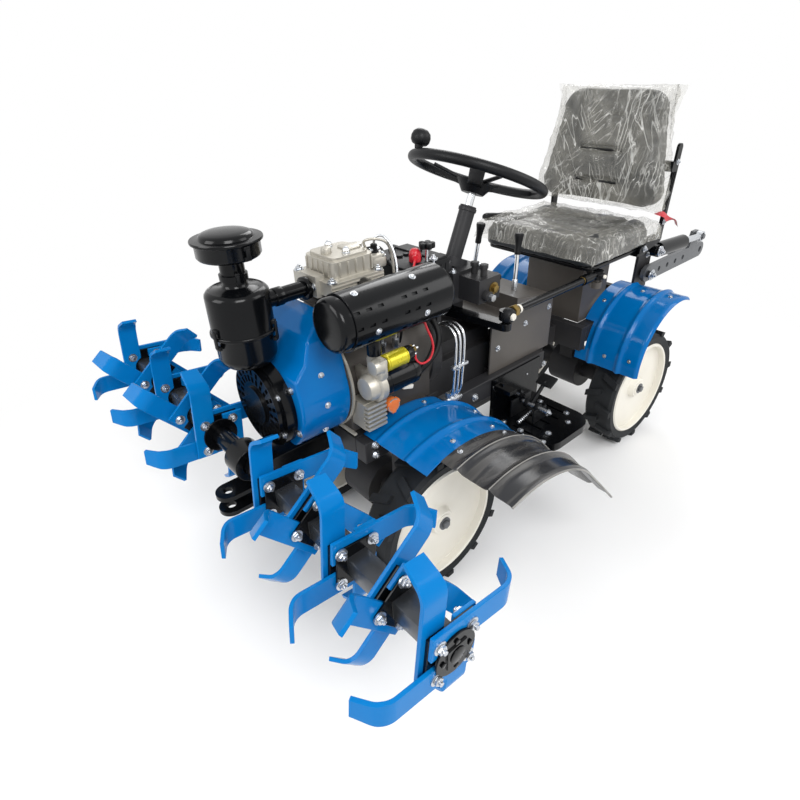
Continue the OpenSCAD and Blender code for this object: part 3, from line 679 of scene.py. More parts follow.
# %% Tine bolts
ROTOR_X, ROTOR_Z = 380, 476
FLANGES = [153 + 128 * i for i in range(5)]
BOLT_CIRCLE = 51
bm = bmesh.new()
for s in (1, -1):
    for i, y in enumerate(FLANGES):
        outer = 12 if y == FLANGES[-1] else 17
        for k in range(4):
            a = math.radians(-6 + 45 * (i % 2)) + math.radians(45 + 90 * k)
            x, z = ROTOR_X + BOLT_CIRCLE * math.cos(a), ROTOR_Z - BOLT_CIRCLE * math.sin(a)
            bolt(bm, (x, s * (y + outer), z), (0, s, 0), 8.5, 7, roll=a, stub=0.6)
            bolt(bm, (x, s * (y - 12), z), (0, -s, 0), 8.5, 7, roll=a)
finish(bm, "tine_bolts", steel, "rotor")

# %% Rotor ends and sleeves
bm = bmesh.new()
for s in (1, -1):
    for dx, dz in ring(4, 30):
        at = P(ROTOR_X + dx, s * 682.2, ROTOR_Z + dz)
        rod(bm, at, at + Vector((0, s * 0.003, 0)), 5, seg=14, bevel=0.8)
    rod(bm, (ROTOR_X, s * 685, ROTOR_Z), (ROTOR_X, s * 687, ROTOR_Z), 16, seg=28, bevel=1)
finish(bm, "rotor_end_caps", black, "rotor")
bm = bmesh.new()
for s in (1, -1):
    for y0, y1 in zip(FLANGES, FLANGES[1:]):
        side_box(bm, s, (357.4, y0 + 17.5, 453.4), (402.6, y1 - 4.5, 498.6), 1.5)
finish(bm, "gang_sleeves", tube_steel, "rotor")
print("rotor dressed")

# %% [markdown]
# ## Muffler and air cleaner
# Both are turned pieces, so each is a profile spun about its own axis. The heat shield's slots are
# pressed in afterwards: single faces of the spun wall are inset and pushed inwards.

# %% Muffler
MUFFLER = P(0, 205, 838)
SLOTS = ((30, 44), (60, 74), (88, 102), (148, 162), (177, 191), (206, 220))
SLOT_ANGLES = (3, 33, 105, 135, 327, 297)
bm = bmesh.new()
wall = [(60, x) for pair in SLOTS for x in pair]
lathe(bm, MUFFLER, FORWARD, [(0, -54), (40, -53.5), (47, -51), (53, -46), (54, -42), (54, -36),
    (58.6, -36), (60, -34.6)] + wall + [(60, 220.6), (58.6, 222), (56, 222), (56, 240), (54, 245),
    (49, 249.5), (44, 250.4), (30, 251.4), (0, 252)], seg=60)


def in_slot(face):
    c = face.calc_center_median() - MUFFLER
    a = math.degrees(math.atan2(c.z, c.y)) % 360
    return (len(face.verts) == 4 and math.hypot(c.y, c.z) > 0.0595
            and any(u < c.x * 1000 < v for u, v in SLOTS)
            and any(abs(a - k) < 2.6 for k in SLOT_ANGLES))


low = [f for f in bm.faces if in_slot(f)]
bmesh.ops.recalc_face_normals(bm, faces=bm.faces)
bmesh.ops.inset_individual(bm, faces=low, thickness=0.0004, depth=-0.004)
painted(low, 1)
rod(bm, (60, 76, 838), (60, 160, 838), 20, seg=28)
rod(bm, (140, 205, 742), (140, 205, 790), 16, seg=28, bevel=1)
ob = finish(bm, "muffler_shape", [black, satin])
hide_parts("muffler")
bm = bmesh.new()
for x, angle in ((193, 73), (49, 67), (170, -14), (40, -14)):
    a = math.radians(angle)
    out = Vector((0, math.cos(a), math.sin(a)))
    bolt(bm, MUFFLER + Vector((x / 1000, 0, 0)) + out * 0.06, out, 5, 3, stub=0)
finish(bm, "muffler_screws", steel)

# %% Air cleaner
CLEANER = P(326, 0, 0)
bm = bmesh.new()
lathe(bm, CLEANER, UP, [(0, 717), (40, 717), (50, 720), (58, 728), (62, 738), (63, 742), (63, 789),
    (64, 791), (69, 792), (70, 793.5), (70, 797.5), (69, 799), (66.8, 800), (66, 802), (66, 874),
    (65, 879), (61, 884), (56, 887), (54, 885.5), (51, 886.5), (30, 890), (27, 893), (25, 898),
    (25, 904), (29, 905), (29, 917), (25, 918), (25, 944), (27, 948), (56, 950), (61, 952.5),
    (64, 957), (64, 980), (66, 982.5), (70.4, 983.5), (71, 985), (71, 987.5), (70, 989),
    (57, 989.5), (54, 990), (52.5, 994), (50, 997), (44, 999.4), (30, 1001.8), (0, 1003)], seg=72)
rod(bm, (156, 0, 842), (286, 0, 842), 18, seg=32)
rod(bm, (226, 0, 842), (246, 0, 842), 20.5, seg=32, bevel=1)
rod(bm, (160, 0, 842), (172, 0, 842), 26, seg=32, bevel=1.5)
ob = finish(bm, "air_cleaner_shape", black)
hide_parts("air_cleaner")


# %% Cleaner clips
def clip(bm, z0, z1, r, angle, w=0.013):
    """Wire clip that spans a seam: a sprung bar and two keepers."""
    turn = Matrix.Rotation(math.radians(angle), 4, "Z")
    for z in (z0, z1):
        at = CLEANER + turn @ Vector((r / 1000, 0, z / 1000))
        half = Vector((0.004, w / 2, 0.004))
        box(bm, at - half, at + half, 1, turn=turn)
    at = CLEANER + turn @ Vector((r / 1000 + 0.004, 0, (z0 + z1) / 2000))
    half = Vector((0.002, w / 3, (z1 - z0) / 2000))
    box(bm, at - half, at + half, 1, turn=turn)


bm = bmesh.new()
for angle in (131, 11, 251):
    clip(bm, 776, 814, 68, angle)
clip(bm, 958, 978, 65, 96)
clip(bm, 902, 920, 28, 80, 0.009)
finish(bm, "cleaner_clips", satin)
print("muffler and air cleaner turned")

# %% [markdown]
# ## Engine fittings
# The near side of the engine is crowded: a starter with its yellow solenoid, a ribbed cooler with
# an orange filler cap, an injector with its pipes. Each fitting is small, so a few turned and bent
# shapes with their own metals say what it is.

# %% Starter
STARTER, SOLENOID = P(0, 166, 640), P(0, 186, 697)
bm = bmesh.new()
lathe(bm, STARTER, FORWARD, [(0, -6), (26, -6), (31, -4), (34, 1), (34, 14), (33, 15), (33, 18),
    (34, 19), (34, 86), (33, 87), (33, 90), (34, 91), (34, 103), (0, 103)], seg=40)
lathe(bm, STARTER, FORWARD, [(0, 103), (39, 103), (39.6, 105), (39.6, 119), (38, 121), (33, 123),
    (31, 134), (26, 144), (18, 146), (0, 146)], seg=40, mat=1)
box(bm, (104, 100, 612), (120, 166, 668), 3, mat=1)
box(bm, (100, 152, 664), (126, 204, 716), 8, mat=1)
rod(bm, (112, 186, 697), (134, 186, 697), 22, 17, seg=28, mat=1, bevel=2)
box(bm, (30, 160, 660), (100, 190, 690), 4)
lathe(bm, SOLENOID, FORWARD, [(0, 100), (20, 100), (20, 98), (18.6, 97), (18.6, 95), (20, 94),
    (20, 46), (18.6, 45), (18.6, 43), (20, 42), (20, 40), (0, 40)], seg=36, mat=2)
lathe(bm, SOLENOID, FORWARD, [(0, 40), (18.4, 40), (18.4, 24), (16, 20), (0, 20)], seg=32)
for y, z, n in ((180, 706, 3), (192, 706, 3), (186, 688, 4)):
    rod(bm, (4, y, z), (21, y, z), 3, seg=12, mat=4)
    rod(bm, (12, y, z), (17, y, z), 6.2, seg=6, mat=n)
rod(bm, (-10, 176, 652), (-2, 176, 652), 6, seg=6, mat=4)
rod(bm, (-10, 156, 628), (-2, 156, 628), 6, seg=6, mat=4)
ob = finish(bm, "starter_shape", [black, alloy, yellow, brass, steel], smooth=35)
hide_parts("starter_motor")
print("starter turned")

# %% Filler cap and engine bolts
bm = bmesh.new()
lathe(bm, (66, 0, 566), LEFT, [(0, 174.5), (10, 175), (16, 174), (18.4, 171), (18.4, 158),
    (17, 155), (0, 155)], seg=30)
for k in range(3):
    a = math.radians(30 + 120 * k)
    at = P(66 + 15 * math.cos(a), 168, 566 + 15 * math.sin(a))
    half = Vector((0.006, 0.007, 0.006))
    box(bm, at - half, at + half, 2, turn=Matrix.Rotation(-a, 4, "Y"))
finish(bm, "filler_cap", orange)

bm = bmesh.new()
for x, y in ((8, -66), (8, 66), (136, -66), (136, 66)):
    bolt(bm, (x, y, 862), UP, 8, 6)
for y in (-34, 34):
    lathe(bm, (70, y, 0), UP, [(0, 922), (4, 921), (7, 917), (8.6, 912), (9.4, 911), (9.4, 907)],
        seg=20)
for y in (-20, 20):
    bolt(bm, (156, y, 848), FORWARD, 6, 5)
for y, z in ring(6, 99, 30):
    bolt(bm, (316.2, y, 606 + z), FORWARD, 5.5, 4, stub=0)
for y, z in ((98, 668), (-98, 668), (108, 560), (-108, 560)):
    bolt(bm, (290, y, z), FORWARD, 6, 4, stub=0)
for z in (545, 620, 690):
    y = math.sqrt(135 ** 2 - (z - 620) ** 2) if z < 680 else 121
    bolt(bm, (225, y, z), (0, 1, 0.1), 5, 3, stub=0)
finish(bm, "engine_bolts", steel)
print("cap and bolts set")

# %% [markdown]
# The injector sits on the head. Its two metal pipes are bent to shape. The two fuel hoses are soft;
# each is drawn along given points and its length is printed.

# %% Injector and fuel pipes
bm = bmesh.new()
box(bm, (-30, 4, 858), (8, 56, 884), 6)
lathe(bm, (-12, 30, 0), UP, [(0, 862), (15, 862), (15, 876), (11, 880), (11, 892), (8, 894),
    (8, 908), (5, 910), (0, 910)], mat=1)
lathe(bm, (-6, -30, 0), UP, [(0, 860), (18, 860), (18, 884), (14, 890), (14, 900), (0, 903)])
rod(bm, (-26, 30, 896), (2, 30, 896), 5, seg=14, mat=2)
for y in (12, 48):
    bolt(bm, (-22, y, 884), UP, 5.5, 5, mat=2)
box(bm, (-26, 6, 864), (11, 54, 890), 3)
for x, y in ((34, 100), (-8, 100)):
    rod(bm, (x, y, 672), (x, y + 2, 698), 9, seg=6, mat=2, bevel=1)
finish(bm, "injector", [alloy, satin, steel])
tube("injector_pipe", [(-12, 30, 906), (-14, 34, 924), (-24, 52, 928), (-32, 74, 902),
    (-26, 94, 850), (4, 104, 780), (32, 104, 720), (34, 100, 676)], 2.8, steel)
tube("leak_pipe", [(4, 24, 896), (16, 30, 920), (4, 54, 928), (-24, 60, 916), (-38, 62, 886),
    (-36, 72, 830), (-22, 92, 750), (-9, 101, 712), (-8, 100, 680)], 3, alloy)
tube("fuel_hose_a", [(-24, 34, 882), (-40, 28, 885), (-48, 4, 888), (-42, -20, 884),
    (-20, -31, 880)], 3, cable, "stiff")
tube("fuel_hose_b", [(-24, 18, 876), (-40, 28, 870), (-44, 58, 848), (-42, 88, 800),
    (-34, 101, 740), (-28, 100, 700), (-27, 94, 674)], 3, cable, "stiff")
print("injector piped")

# %% [markdown]
# ## Battery, wiring and pipes
# Cables are round sections along smooth curves. The battery lead and the two looms are soft, and
# their lengths are printed; the bright steering pipes are bent to shape.

# %% Battery
bm = bmesh.new()
box(bm, (-198, -62, 846), (-52, 90, 853), 3)
for k in range(6):
    lathe(bm, (-170 + 22 * k, 14, 0), UP, [(8, 852), (8, 857), (6.4, 858.4), (0, 858.4)], seg=16)
for k in range(9):
    box(bm, (-192 + 16 * k, 91, 745), (-186 + 16 * k, 93.6, 836), 1)
finish(bm, "battery_lid", plastic)
bm = bmesh.new()
lathe(bm, (-110, 64, 0), UP, [(0, 884), (8, 883), (13, 878), (15, 870), (15, 853), (0, 853)])
rod(bm, (-112, 64, 868), (-92, 84, 866), 8, seg=18, bevel=1)
finish(bm, "terminal_cover", red)
bm = bmesh.new()
rod(bm, (-140, 97, 732), (-140, 97, 868), 3.5, seg=14)
bolt(bm, (-140, 97, 858), UP, 7, 5)
box(bm, (-158, -70, 852), (-146, 100, 857), 1, mat=1)
rod(bm, (-128, 86, 852), (-128, 86, 884), 4, seg=14)
lathe(bm, (-128, 86, 0), UP, [(0, 884), (9, 884), (11, 888), (11, 896), (8, 899), (0, 900)], mat=2)
for dx, dy in ring(5, 13):
    rod(bm, (-128 + dx, 86 + dy, 885), (-128 + dx, 86 + dy, 899), 7.5, seg=16, mat=2, bevel=2)
finish(bm, "battery_hold_down", [steel, satin, plastic])
print("battery dressed")

# %% Wiring
tube("battery_lead", [(-92, 84, 866), (-62, 112, 850), (-40, 150, 806), (-30, 182, 752),
    (-39, 194, 714), (-42, 196, 686), (-31, 195, 663), (-10, 191, 658), (4, 187, 672),
    (6, 186, 688)], 2.8, red, "medium")
tube("loom_0", [(-120, 90, 726), (-123, 114, 708), (-118, 138, 676), (-100, 149, 646),
    (-70, 150, 622), (-36, 144, 602), (-6, 126, 590), (14, 104, 582)], 7, cable,
    "medium")
tube("loom_1", [(-96, 91, 726), (-98, 120, 708), (-92, 146, 682), (-76, 156, 656), (-50, 160, 632),
    (-22, 163, 614), (0, 168, 606), (14, 171, 604)], 5, cable, "medium")
bm = bmesh.new()
box(bm, (8, 160, 598), (40, 182, 610), 3, turn=Matrix.Rotation(-0.3, 4, "Y"))
finish(bm, "wiring_plug", white)
print("wiring run")

# %% Steering pipes
PIPE_PITCH = 15
pipe = [(-178, 54, 594), (-179, 66, 650), (-180, 98, 682), (-180, 140, 690), (-178, 167, 672),
        (-176, 172, 620), (-172, 172, 560), (-168, 172, 520), (-160, 164, 500)]
for k in range(3):
    line = [P(x + PIPE_PITCH * k, y, z) for x, y, z in pipe]
    tube(f"steering_pipe_{k}", line, 3.8, chrome)
bm = bmesh.new()
box(bm, (-190, 166, 584), (-132, 178, 594), 2)
for k in range(3):
    at = P(-160 + PIPE_PITCH * k, 163, 496)
    rod(bm, at, at + Vector((0, 0, 0.018)), 7.5, seg=6)
box(bm, (-174, 138, 483), (-116, 174, 498), 2)
bolt(bm, (-150, 178, 589), LEFT, 5, 4)
finish(bm, "pipe_clamp", steel)
print("steering pipes bent")

# %% [markdown]
# ## Steering and levers
# The column leans back, so its pieces are placed along its own axis. A lever is a bright rod with a
# moulded grip pushed over it; the grip swells towards its end, which a plain cylinder would not.

# %% Steering wheel and column
COLUMN_LEAN = math.radians(23)
KNOB_TURN = math.radians(-25)


def on_column(z):
    return P(-310 - z * math.sin(COLUMN_LEAN), 0, 800 + z * math.cos(COLUMN_LEAN))


lean = on_column(1) - on_column(0)
bm = bmesh.new()
rod(bm, on_column(141), on_column(173), 10.4, seg=28)
finish(bm, "column_shaft", chrome, "steering_wheel")
bm = bmesh.new()
across = Vector((lean.z, 0, -lean.x)).normalized()
to_knob = across * math.cos(KNOB_TURN) + Vector(LEFT) * math.sin(KNOB_TURN)
knob = on_column(0) + to_knob * 0.177
lathe(bm, knob, lean, [(9, 232), (11, 240), (19, 243), (24, 250), (25, 260), (22, 270), (14, 277),
    (0, 280)], seg=40)
finish(bm, "wheel_knob", plastic, "steering_wheel")
bm = bmesh.new()
lathe(bm, on_column(0), lean, [(0, 206), (20, 206), (34, 204), (44, 199), (46, 194)], seg=40)
for x, y in ring(3, 1, 40):
    out = along(lean).to_3x3() @ Vector((x, y, 0))
    rod(bm, on_column(200) + out * 0.03, on_column(218) + out * 0.118, 6, 5, seg=14)
finish(bm, "wheel_hub_cover", plastic, "steering_wheel")
bm = bmesh.new()
lathe(bm, on_column(0), lean, [(23, 136), (24.5, 135), (24.5, 127), (23, 126)], seg=32)
for x, y in ((-342, -50), (-342, 58), (-250, -50), (-250, 58)):
    bolt(bm, (x, y, 788), UP, 7, 5, mat=1)
bolt(bm, (-318, 140, 748), LEFT, 11, 9, mat=2, stub=0)
rod(bm, (-286, 140, 736), (-286, 158, 736), 14, bevel=2)
rod(bm, (-286, 158, 736), (-286, 170, 736), 10, seg=6, mat=1)
for y in (88, 120):
    rod(bm, (-300, y, 800), (-300, y, 812), 12, seg=6, bevel=1)
lathe(bm, (-250, 30, 0), UP, [(0, 812), (14, 811), (16, 808), (16, 788), (0, 788)])
finish(bm, "steering_box_fittings", [dark, steel, brass])
print("steering dressed")

# %% Levers and tank cap
# Foot, tilts about X and Y, and length of the bare rod.
LEVERS = (((-500, 70, 676.2), (8, -12), 100), ((-480, -80, 680.9), (-6, -4), 110))
GRIP = [(0, 0), (8, 0), (9, 2), (9, 8), (8.6, 20), (10, 34), (12.6, 48), (13.8, 54), (13, 59),
        (8, 61), (0, 61.5)]
bm = bmesh.new()
for base, tilt, stem in LEVERS:
    a, b = (math.radians(t) for t in tilt)
    axis = (Matrix.Rotation(b, 3, "Y") @ Matrix.Rotation(a, 3, "X")) @ Vector(UP)
    at = P(*base)
    rod(bm, at - axis * 0.004, at + axis * (stem + 4) / 1000, 6, seg=20)
    rod(bm, at, at + axis * 0.03, 8.5, seg=20, mat=1, bevel=1)
    lathe(bm, at, axis, [(r, stem + h) for r, h in GRIP], seg=28, mat=2)
ob = finish(bm, "lever_shapes", [chrome, steel, plastic])
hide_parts("levers")
bm = bmesh.new()
lathe(bm, (-500, -20, 0), UP, [(0, 704), (22, 703), (26, 700), (26, 688), (22, 686), (20, 674),
    (0, 674)], seg=32)
for dx, dy in ring(6, 25):
    rod(bm, (-500 + dx, -20 + dy, 688), (-500 + dx, -20 + dy, 701), 6, seg=12, bevel=1)
finish(bm, "tank_cap", plastic)
print("levers:", len(LEVERS))

# %% [markdown]
# The drag link ends in ball joints under rubber boots. The rear one is smaller, because it passes
# close under the seat pan when the machine turns.

# %% Drag link ends and frame bolts
CAP = [(0, 29), (8, 29), (9.5, 27), (9.5, 22)]
BOOT = [(9.5, 23), (14, 23), (18, 19), (20, 12), (20, 4), (17, -2), (0, -2)]
bm = bmesh.new()
for at, k in ((P(-301, 200, 696), 1.0), (P(-731, 200, 694), 0.6)):
    lathe(bm, at, LEFT, [(r * k, h) for r, h in CAP], mat=1)
    lathe(bm, at, LEFT, [(r * k, h) for r, h in BOOT], seg=28)
rod(bm, (-344, 200, 696), (-328, 200, 696), 16.5, seg=6, mat=2, bevel=1.5)
rod(bm, (-358, 200, 696), (-350, 200, 696), 12.5, seg=20, mat=1, bevel=1)
rod(bm, (-664, 200, 696), (-648, 200, 696), 11.5, seg=20, mat=2, bevel=0.5)
finish(bm, "link_ends", [satin, white, brass], "drag_link")

bm = bmesh.new()
for s in (1, -1):
    for x, y in ((-330, 200), (-330, 340), (-376, 326), (-463, 331), (-330, 262), (-500, 205),
            (-500, 300), (-440, 180)):
        bolt(bm, (x, s * y, 346), UP, 6, 3, stub=0)
    for x, z in ((-470, 440), (-560, 440), (-470, 600), (-580, 620), (-350, 560)):
        bolt(bm, (x, s * (142 if z > 484 else 160), z), (0, s, 0), 6, 4)
    for x, z in ((-20, 452), (120, 470), (120, 440), (-240, 452)):
        bolt(bm, (x, s * 160, z), (0, s, 0), 8, 6)
finish(bm, "frame_bolts", steel)
print("link ends and bolts set")

# %% [markdown]
# ## Brake grip, pedals and engine ribs
# These are small fixed details: a cranked grip beside the seat, the shaft and return spring of each
# pedal, and the ribs and flange that break up the plain faces of the engine.

# %% Brake grip and pedals
GRIP_FOOT, GRIP_END = P(-840, -225, 782), P(-692, -225, 804)
bm = bmesh.new()
rod(bm, (-905, -196, 719), (-905, -224, 722), 8, seg=18, mat=1)
rod(bm, (-905, -224, 716), (-880, -225, 777), 7, seg=18, mat=1, bevel=1)
rod(bm, (-884, -225, 775), (-830, -225, 784), 7.5, seg=20, mat=1, bevel=1)
lathe(bm, GRIP_FOOT, GRIP_END - GRIP_FOOT, [(0, 0), (9, 0), (12, 3), (11, 12), (12.5, 40),
    (11, 75), (12.5, 110), (13, 138), (10, 147), (0, 150)], seg=28)
finish(bm, "brake_grip", [plastic, satin], "rear_frame")
bm = bmesh.new()
for s in (1, -1):
    side_box(bm, s, (-516, 210, 334), (-320, 320, 339), 1)
    side_box(bm, s, (-452, 196, 346), (-360, 202, 404), 2)
    side_box(bm, s, (-440, 262, 346), (-380, 268, 388), 2)
    rod(bm, (-412, s * 190, 384), (-412, s * 292, 384), 7, seg=18, mat=1)
    for y in (214, 250):
        rod(bm, (-412, s * y, 384), (-412, s * (y + 12), 384), 14, seg=20, bevel=1)
    rod(bm, (-412, s * 232, 384), (-462, s * 240, 448), 6, seg=16)
    side_box(bm, s, (-486, 214, 444), (-446, 268, 452), 3, Matrix.Rotation(0.5, 4, "Y"))
    for k in range(9):
        x = -404 + 7 * k
        rod(bm, (x, s * 240, 366 - 1.2 * k), (x + 4, s * 240, 365.4 - 1.2 * k), 6, seg=14, mat=1)
    bolt(bm, (-412, s * 292, 384), (0, s, 0), 7, 6, mat=1)
finish(bm, "pedal_gear", [satin, steel])
print("grip and pedals dressed")

# %% Engine ribs
bm = bmesh.new()
for k in range(5):
    box(bm, (16 + 22 * k, 57.5, 866), (21 + 22 * k, 60.5, 897), 1)
    box(bm, (125.5, -46 + 21 * k, 866), (128.5, -41 + 21 * k, 897), 1)
for k in range(3):
    box(bm, (0, 75, 836 + 8 * k), (144, 79, 840 + 8 * k), 1)
box(bm, (20, -16, 906), (60, 24, 912), 3)
rod(bm, (100, 0, 904), (100, 0, 920), 13, 11, bevel=2)
finish(bm, "head_ribs", alloy)
bm = bmesh.new()
box(bm, (150, -132, 500), (158, 132, 506), 1)
lathe(bm, (0, 0, 620), FORWARD, [(133.5, 149), (137, 150), (137, 156), (133.5, 157)], seg=72)
finish(bm, "shroud_flange", alloy)
print("engine ribs set")

# %% [markdown]
# ## Wheels and lift
# A hexagon nut sits in the middle of each plain disc. The lift's pivots get a washer and a nut at
# each end, and bolts hold the mast and the seat's brackets.

# %% Wheels and lift
WHEEL_RADIUS, WHEELBASE = 216, 1007
for name, x, s in (("front_left", 0, 1), ("front_right", 0, -1), ("rear_left", -WHEELBASE, 1),
        ("rear_right", -WHEELBASE, -1)):
    bm = bmesh.new()
    disc, washer = P(x, s * 279.6, WHEEL_RADIUS), P(x, s * 283, WHEEL_RADIUS)
    rod(bm, disc, washer, 26, seg=32, bevel=1)
    bolt(bm, washer, (0, s, 0), 12.5, 8, mat=1, stub=0)
    finish(bm, "hub_nut_" + name, [white, grey], "wheel_" + name)
bm = bmesh.new()
for s in (1, -1):
    for x, z, y, r in ((-1100, 600, 196, 13), (-1085, 690, 216, 12)):
        rod(bm, (x, s * y, z), (x, s * (y + 4), z), r * 1.5, bevel=1)
        bolt(bm, (x, s * (y + 4), z), (0, s, 0), r * 0.8, 7)
    for x, z in ((-1118, 500), (-1080, 460), (-1118, 660)):
        bolt(bm, (x, s * 160, z), (0, s, 0), 7, 5)
    for x, z in ((-1070, 790), (-1080, 970)):
        bolt(bm, (x, s * 213.5, z), (0, s, 0), 6, 4)
    bolt(bm, (-975, s * 213.5, 722), (0, s, 0), 7, 5)
finish(bm, "rear_bolts", steel, "rear_frame")
print("wheels and lift dressed")

# %% [markdown]
# ## Seat
# The cushion and backrest are foam under vinyl. Each starts as a copy of its plain CAD solid,
# slightly smaller; Blender's cloth solver swells it with a little air, so the faces crown and the
# sides pull in. The sewn channels are pressed in afterwards, because remeshing would erase them,
# and the pads are spread a little in their own plane.

# %% Padding
VOXEL = 0.006
SHRINK, MOST_SWELL = 0.001, 0.010
AIR_PRESSURE, CLOTH_FRAMES = 4.0, 20


def apply_modifiers(ob):
    view = bpy.context.evaluated_depsgraph_get()
    ob.data = bpy.data.meshes.new_from_object(ob.evaluated_get(view))
    ob.modifiers.clear()


def swell(ob):
    """Blows the mesh up a little, as cloth without weight."""
    cloth = ob.modifiers.new("cloth", "CLOTH")
    cloth.settings.use_pressure = True
    cloth.settings.uniform_pressure_force = AIR_PRESSURE
    cloth.settings.quality = 4
    cloth.settings.effector_weights.gravity = 0.0
    for frame_number in range(1, CLOTH_FRAMES + 1):
        bpy.context.scene.frame_set(frame_number)
    apply_modifiers(ob)
    bpy.context.scene.frame_set(1)


def foam(node, name):
    """An evenly meshed, rounded and slightly smaller copy of a CAD node."""
    bm = bmesh.new()
    bm.from_mesh(nodes[node].data)
    bmesh.ops.remove_doubles(bm, verts=bm.verts, dist=2e-5)
    ob = mesh_object(bm, name)
    remesh = ob.modifiers.new("voxels", "REMESH")
    remesh.mode, remesh.voxel_size = "VOXEL", VOXEL
    apply_modifiers(ob)
    bm = bmesh.new()
    bm.from_mesh(ob.data)
    for _ in range(4):
        bmesh.ops.smooth_vert(bm, verts=bm.verts, factor=0.5, use_axis_x=True, use_axis_y=True,
                              use_axis_z=True)
    bm.normal_update()
    for v in bm.verts:
        v.co -= v.normal * SHRINK
    bm.to_mesh(ob.data)
    bm.free()
    return ob


def pad(node, name, carve):
    """Foam under vinyl instead of a CAD node; `carve` moves each point of the swollen mesh."""
    ob = foam(node, name)
    rest = [v.co.copy() for v in ob.data.vertices]
    swell(ob)
    bm = bmesh.new()
    bm.from_mesh(ob.data)
    for v, old in zip(bm.verts, rest):
        move = v.co - old
        if move.length > MOST_SWELL:
            v.co = old + move * (MOST_SWELL / move.length)
    bm.normal_update()
    moves = [carve(v.co, v.normal) for v in bm.verts]
    for v, d in zip(bm.verts, moves):
        v.co += d
    for f in bm.faces:
        f.smooth = True
    bm.to_mesh(ob.data)
    bm.free()
    ob.data.materials.clear()
    ob.data.materials.append(vinyl)
    fine = ob.modifiers.new("fine", "SUBSURF")
    fine.levels = fine.render_levels = 1
    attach(ob, "rear_frame")
    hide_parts(node)
    print(name, len(ob.data.vertices), "points")


# %% Seat shapes
BACK_X, BACK_Z = -978, 850
BACK_SIN, BACK_COS = math.sin(math.radians(5)), math.cos(math.radians(5))
BACK_WIDER, BACK_HIGHER, BACK_MIDDLE = 1.07, 1.09, 159
SEAT_X, SEAT_WIDER = -845, 0.05
WELTS = (55, 150)


def clamp(v):
    return max(0, min(1, v))


def groove(d, width):
    return math.exp(-(d / width) ** 2)


def back_local(p):
    """Millimetres across, up along and out of the backrest's front face."""
    x, z = (p.x - AXLE) * 1000 - BACK_X, p.z * 1000 - BACK_Z
    return p.y * 1000, -x * BACK_SIN + z * BACK_COS, x * BACK_COS + z * BACK_SIN


def back_point(y, u, out):
    return P(BACK_X + out * BACK_COS - u * BACK_SIN, y, BACK_Z + out * BACK_SIN + u * BACK_COS)


def carve_back(p, n):
    """Spreads the backrest, then cuts two deep channels, a shallow one and the side seams."""
    y, u, out = back_local(p)
    higher = BACK_MIDDLE + (u - BACK_MIDDLE) * BACK_HIGHER
    wide = back_point(y * BACK_WIDER, higher, out) - p
    if out < -40:
        return wide
    deep = 0.0
    for at, most in ((64, 24), (151, 24), (238, 9)):
        deep += most * groove(u - at, 7) * clamp((74 - abs(y)) / 16)
    seam = groove(abs(y) - 104 + 0.06 * (u - 150), 9)
    deep += 10 * seam * clamp((u - 24) / 30) * clamp((300 - u) / 30)
    return wide - n * (deep / 1000)


def carve_seat(p, n):
    """Spreads the cushion, keeps its underside level and presses the hollow and the channels."""
    x, y, z = (p.x - AXLE) * 1000, p.y * 1000, p.z * 1000
    wide = Vector(((x - SEAT_X) * SEAT_WIDER, y * SEAT_WIDER, 0)) / 1000
    if z < 760:
        return wide + Vector((0, 0, max(0, 724.4 - z) / 1000))
    hollow = groove(math.hypot(max(abs(y) - 60, 0), x + 850), 90)
    deep = 9 * groove(abs(y) - 128, 9) + 10 * hollow
    if abs(y) < 124:
        deep += 8 * max(groove(x + k, 7) for k in (760, 830, 900))
    return wide - n * (deep / 1000)


pad("seat_backrest", "backrest_pad", carve_back)
# Each channel gets piping: a welt in black plastic, darker than the vinyl, which paints the shade
# at the bottom of the channel, and a vinyl ridge just above it.
bm = bmesh.new()
for u in WELTS:
    for k, (lift, out, r) in enumerate(((0, 3, 4.2), (7, 1, 3))):
        ends = [back_point(y, u + lift, out) for y in (-74, 74)]
        rod(bm, *ends, r, seg=14, mat=k, bevel=1)
finish(bm, "backrest_piping_and_shade", [plastic, vinyl], "rear_frame")
pad("seat_cushion", "cushion_pad", carve_seat)

# %% [markdown]
# ## Plastic wrap
# The new seat still wears its wrap. The backrest is in a flat bag that is wider than it, so its
# corners stand off at the top; the cushion has a loose sheet laid over it that hangs at the edges.
# Both are grids pushed clear of the padding and crumpled by a fixed noise.

# %% Bag over the backrest
BAG_FOOT, BAG_HEIGHT, BAG_FLARE = -18, 352, 34


def crumple(p, size, scale):
    return Vector((noise.noise(p * scale), noise.noise(p * scale + Vector((7, 1, 3))),
                   noise.noise(p * scale + Vector((2, 9, 5))))) * size


def grid(bm, n, m, place):
    rows = [[bm.verts.new(place(i / n, j / m)) for j in range(m + 1)] for i in range(n + 1)]
    for a, b in zip(rows, rows[1:]):
        for j in range(m):
            bm.faces.new((a[j], b[j], b[j + 1], a[j + 1]))


def half_width(u):
    """Half width of the padded back at a height."""
    return 205 - 40 * clamp((u - 50) / 206)


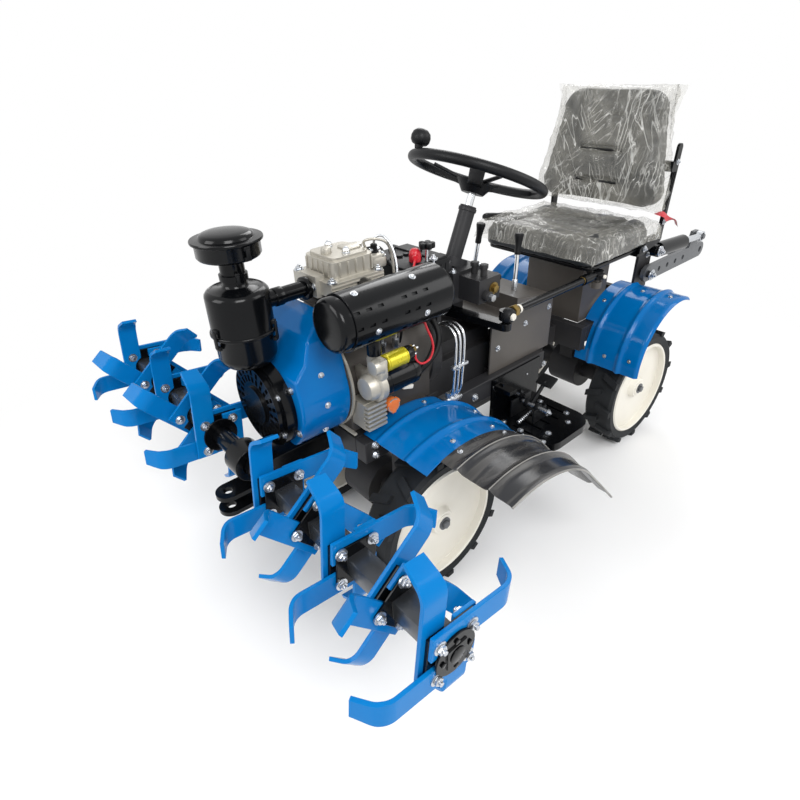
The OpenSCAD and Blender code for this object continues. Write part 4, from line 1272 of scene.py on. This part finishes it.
def bag(face):
    """The front (1) or the back (-1) of the bag, as a function of two shares from 0 to 1."""
    def place(i, j):
        u = BAG_FOOT + BAG_HEIGHT * j
        pad_edge = half_width(u) * BACK_WIDER
        y = (pad_edge + 8 + BAG_FLARE * max(0, (j - 0.5) / 0.5) ** 1.4) * (2 * i - 1)
        over = max(abs(y) - pad_edge + 4, u - 324, -10 - u, 0) / 12
        t = max(0.0, 1 - over)
        t = t * t * (3 - 2 * t)
        out = -33 + face * 47 * t
        if face > 0:
            out -= 9 * t * max(groove(u - k, 9) for k in WELTS) * (abs(y) < 80)
        p = back_point(y, u, out)
        soft = crumple(p, 0.006, 26) + crumple(p, 0.003, 70)
        return p + soft * (0.5 + 0.5 * t if abs(2 * i - 1) < 1 and 0 < j < 1 else 0.6)
    return place


bm = bmesh.new()
grid(bm, 76, 60, bag(1))
grid(bm, 76, 60, bag(-1))
bmesh.ops.remove_doubles(bm, verts=bm.verts, dist=1e-4)
area = sum(f.calc_area() for f in bm.faces)
wrap = finish(bm, "backrest_bag", film, "rear_frame", 80)
round(area / 0.5, 3)
print("bag of film:", round(area, 3), "m2")


# %% Sheet over the cushion
SHEET_HALF_WIDTH, SHEET_HALF_LENGTH = 274, 234
SPREAD = 0.12  # how far the hanging edge stands out for each unit that it hangs


def over_seat(i, j):
    """A point of the sheet, laid flat on the cushion and folded down at its edges."""
    y, x = SHEET_HALF_WIDTH * (2 * i - 1), SHEET_HALF_LENGTH * (2 * j - 1)
    hang = math.hypot(max(abs(y) - 216, 0), max(abs(x) - 180, 0))
    side, front = 221 + SPREAD * hang, 188 + SPREAD * hang
    p = P(SEAT_X + max(-front, min(front, x)), max(-side, min(side, y)), 802 - hang)
    lift = crumple(p, 0.010, 13) + crumple(p, 0.005, 34)
    lift.z = abs(lift.z) * (1.3 if hang == 0 else 0.5)
    return p + lift


bm = bmesh.new()
grid(bm, 84, 70, over_seat)
area = sum(f.calc_area() for f in bm.faces)
wrap = finish(bm, "cushion_sheet", film, "rear_frame", 80)
round(area / 0.52, 3)
print("sheet of film:", round(area, 3), "m2")

# %% [markdown]
# A red ribbon hangs from the seat's bracket. It is a narrow grid that follows a curve and rolls as
# it goes.

# %% Ribbon
RIBBON_WIDTH = 0.017
ribbon = smooth_path([P(-985, 224, 835), P(-1030, 228, 822), P(-1070, 226, 800),
                      P(-1110, 230, 790), P(-1150, 224, 764)])


def strip(i, j):
    k = int(j * (len(ribbon) - 1))
    roll = 0.5 + 1.1 * math.sin(5 * j)
    across = Vector((0.2 * math.sin(9 * j), math.cos(roll), math.sin(roll)))
    return ribbon[k] + across * (i - 0.5) * RIBBON_WIDTH


bm = bmesh.new()
grid(bm, 3, 32, strip)
area = sum(f.calc_area() for f in bm.faces)
tie = finish(bm, "tie_ribbon", red, "rear_frame", 80)
round(area / 0.018 * 1.1, 3)
print("ribbon:", round(area * 1e4, 1), "cm2")
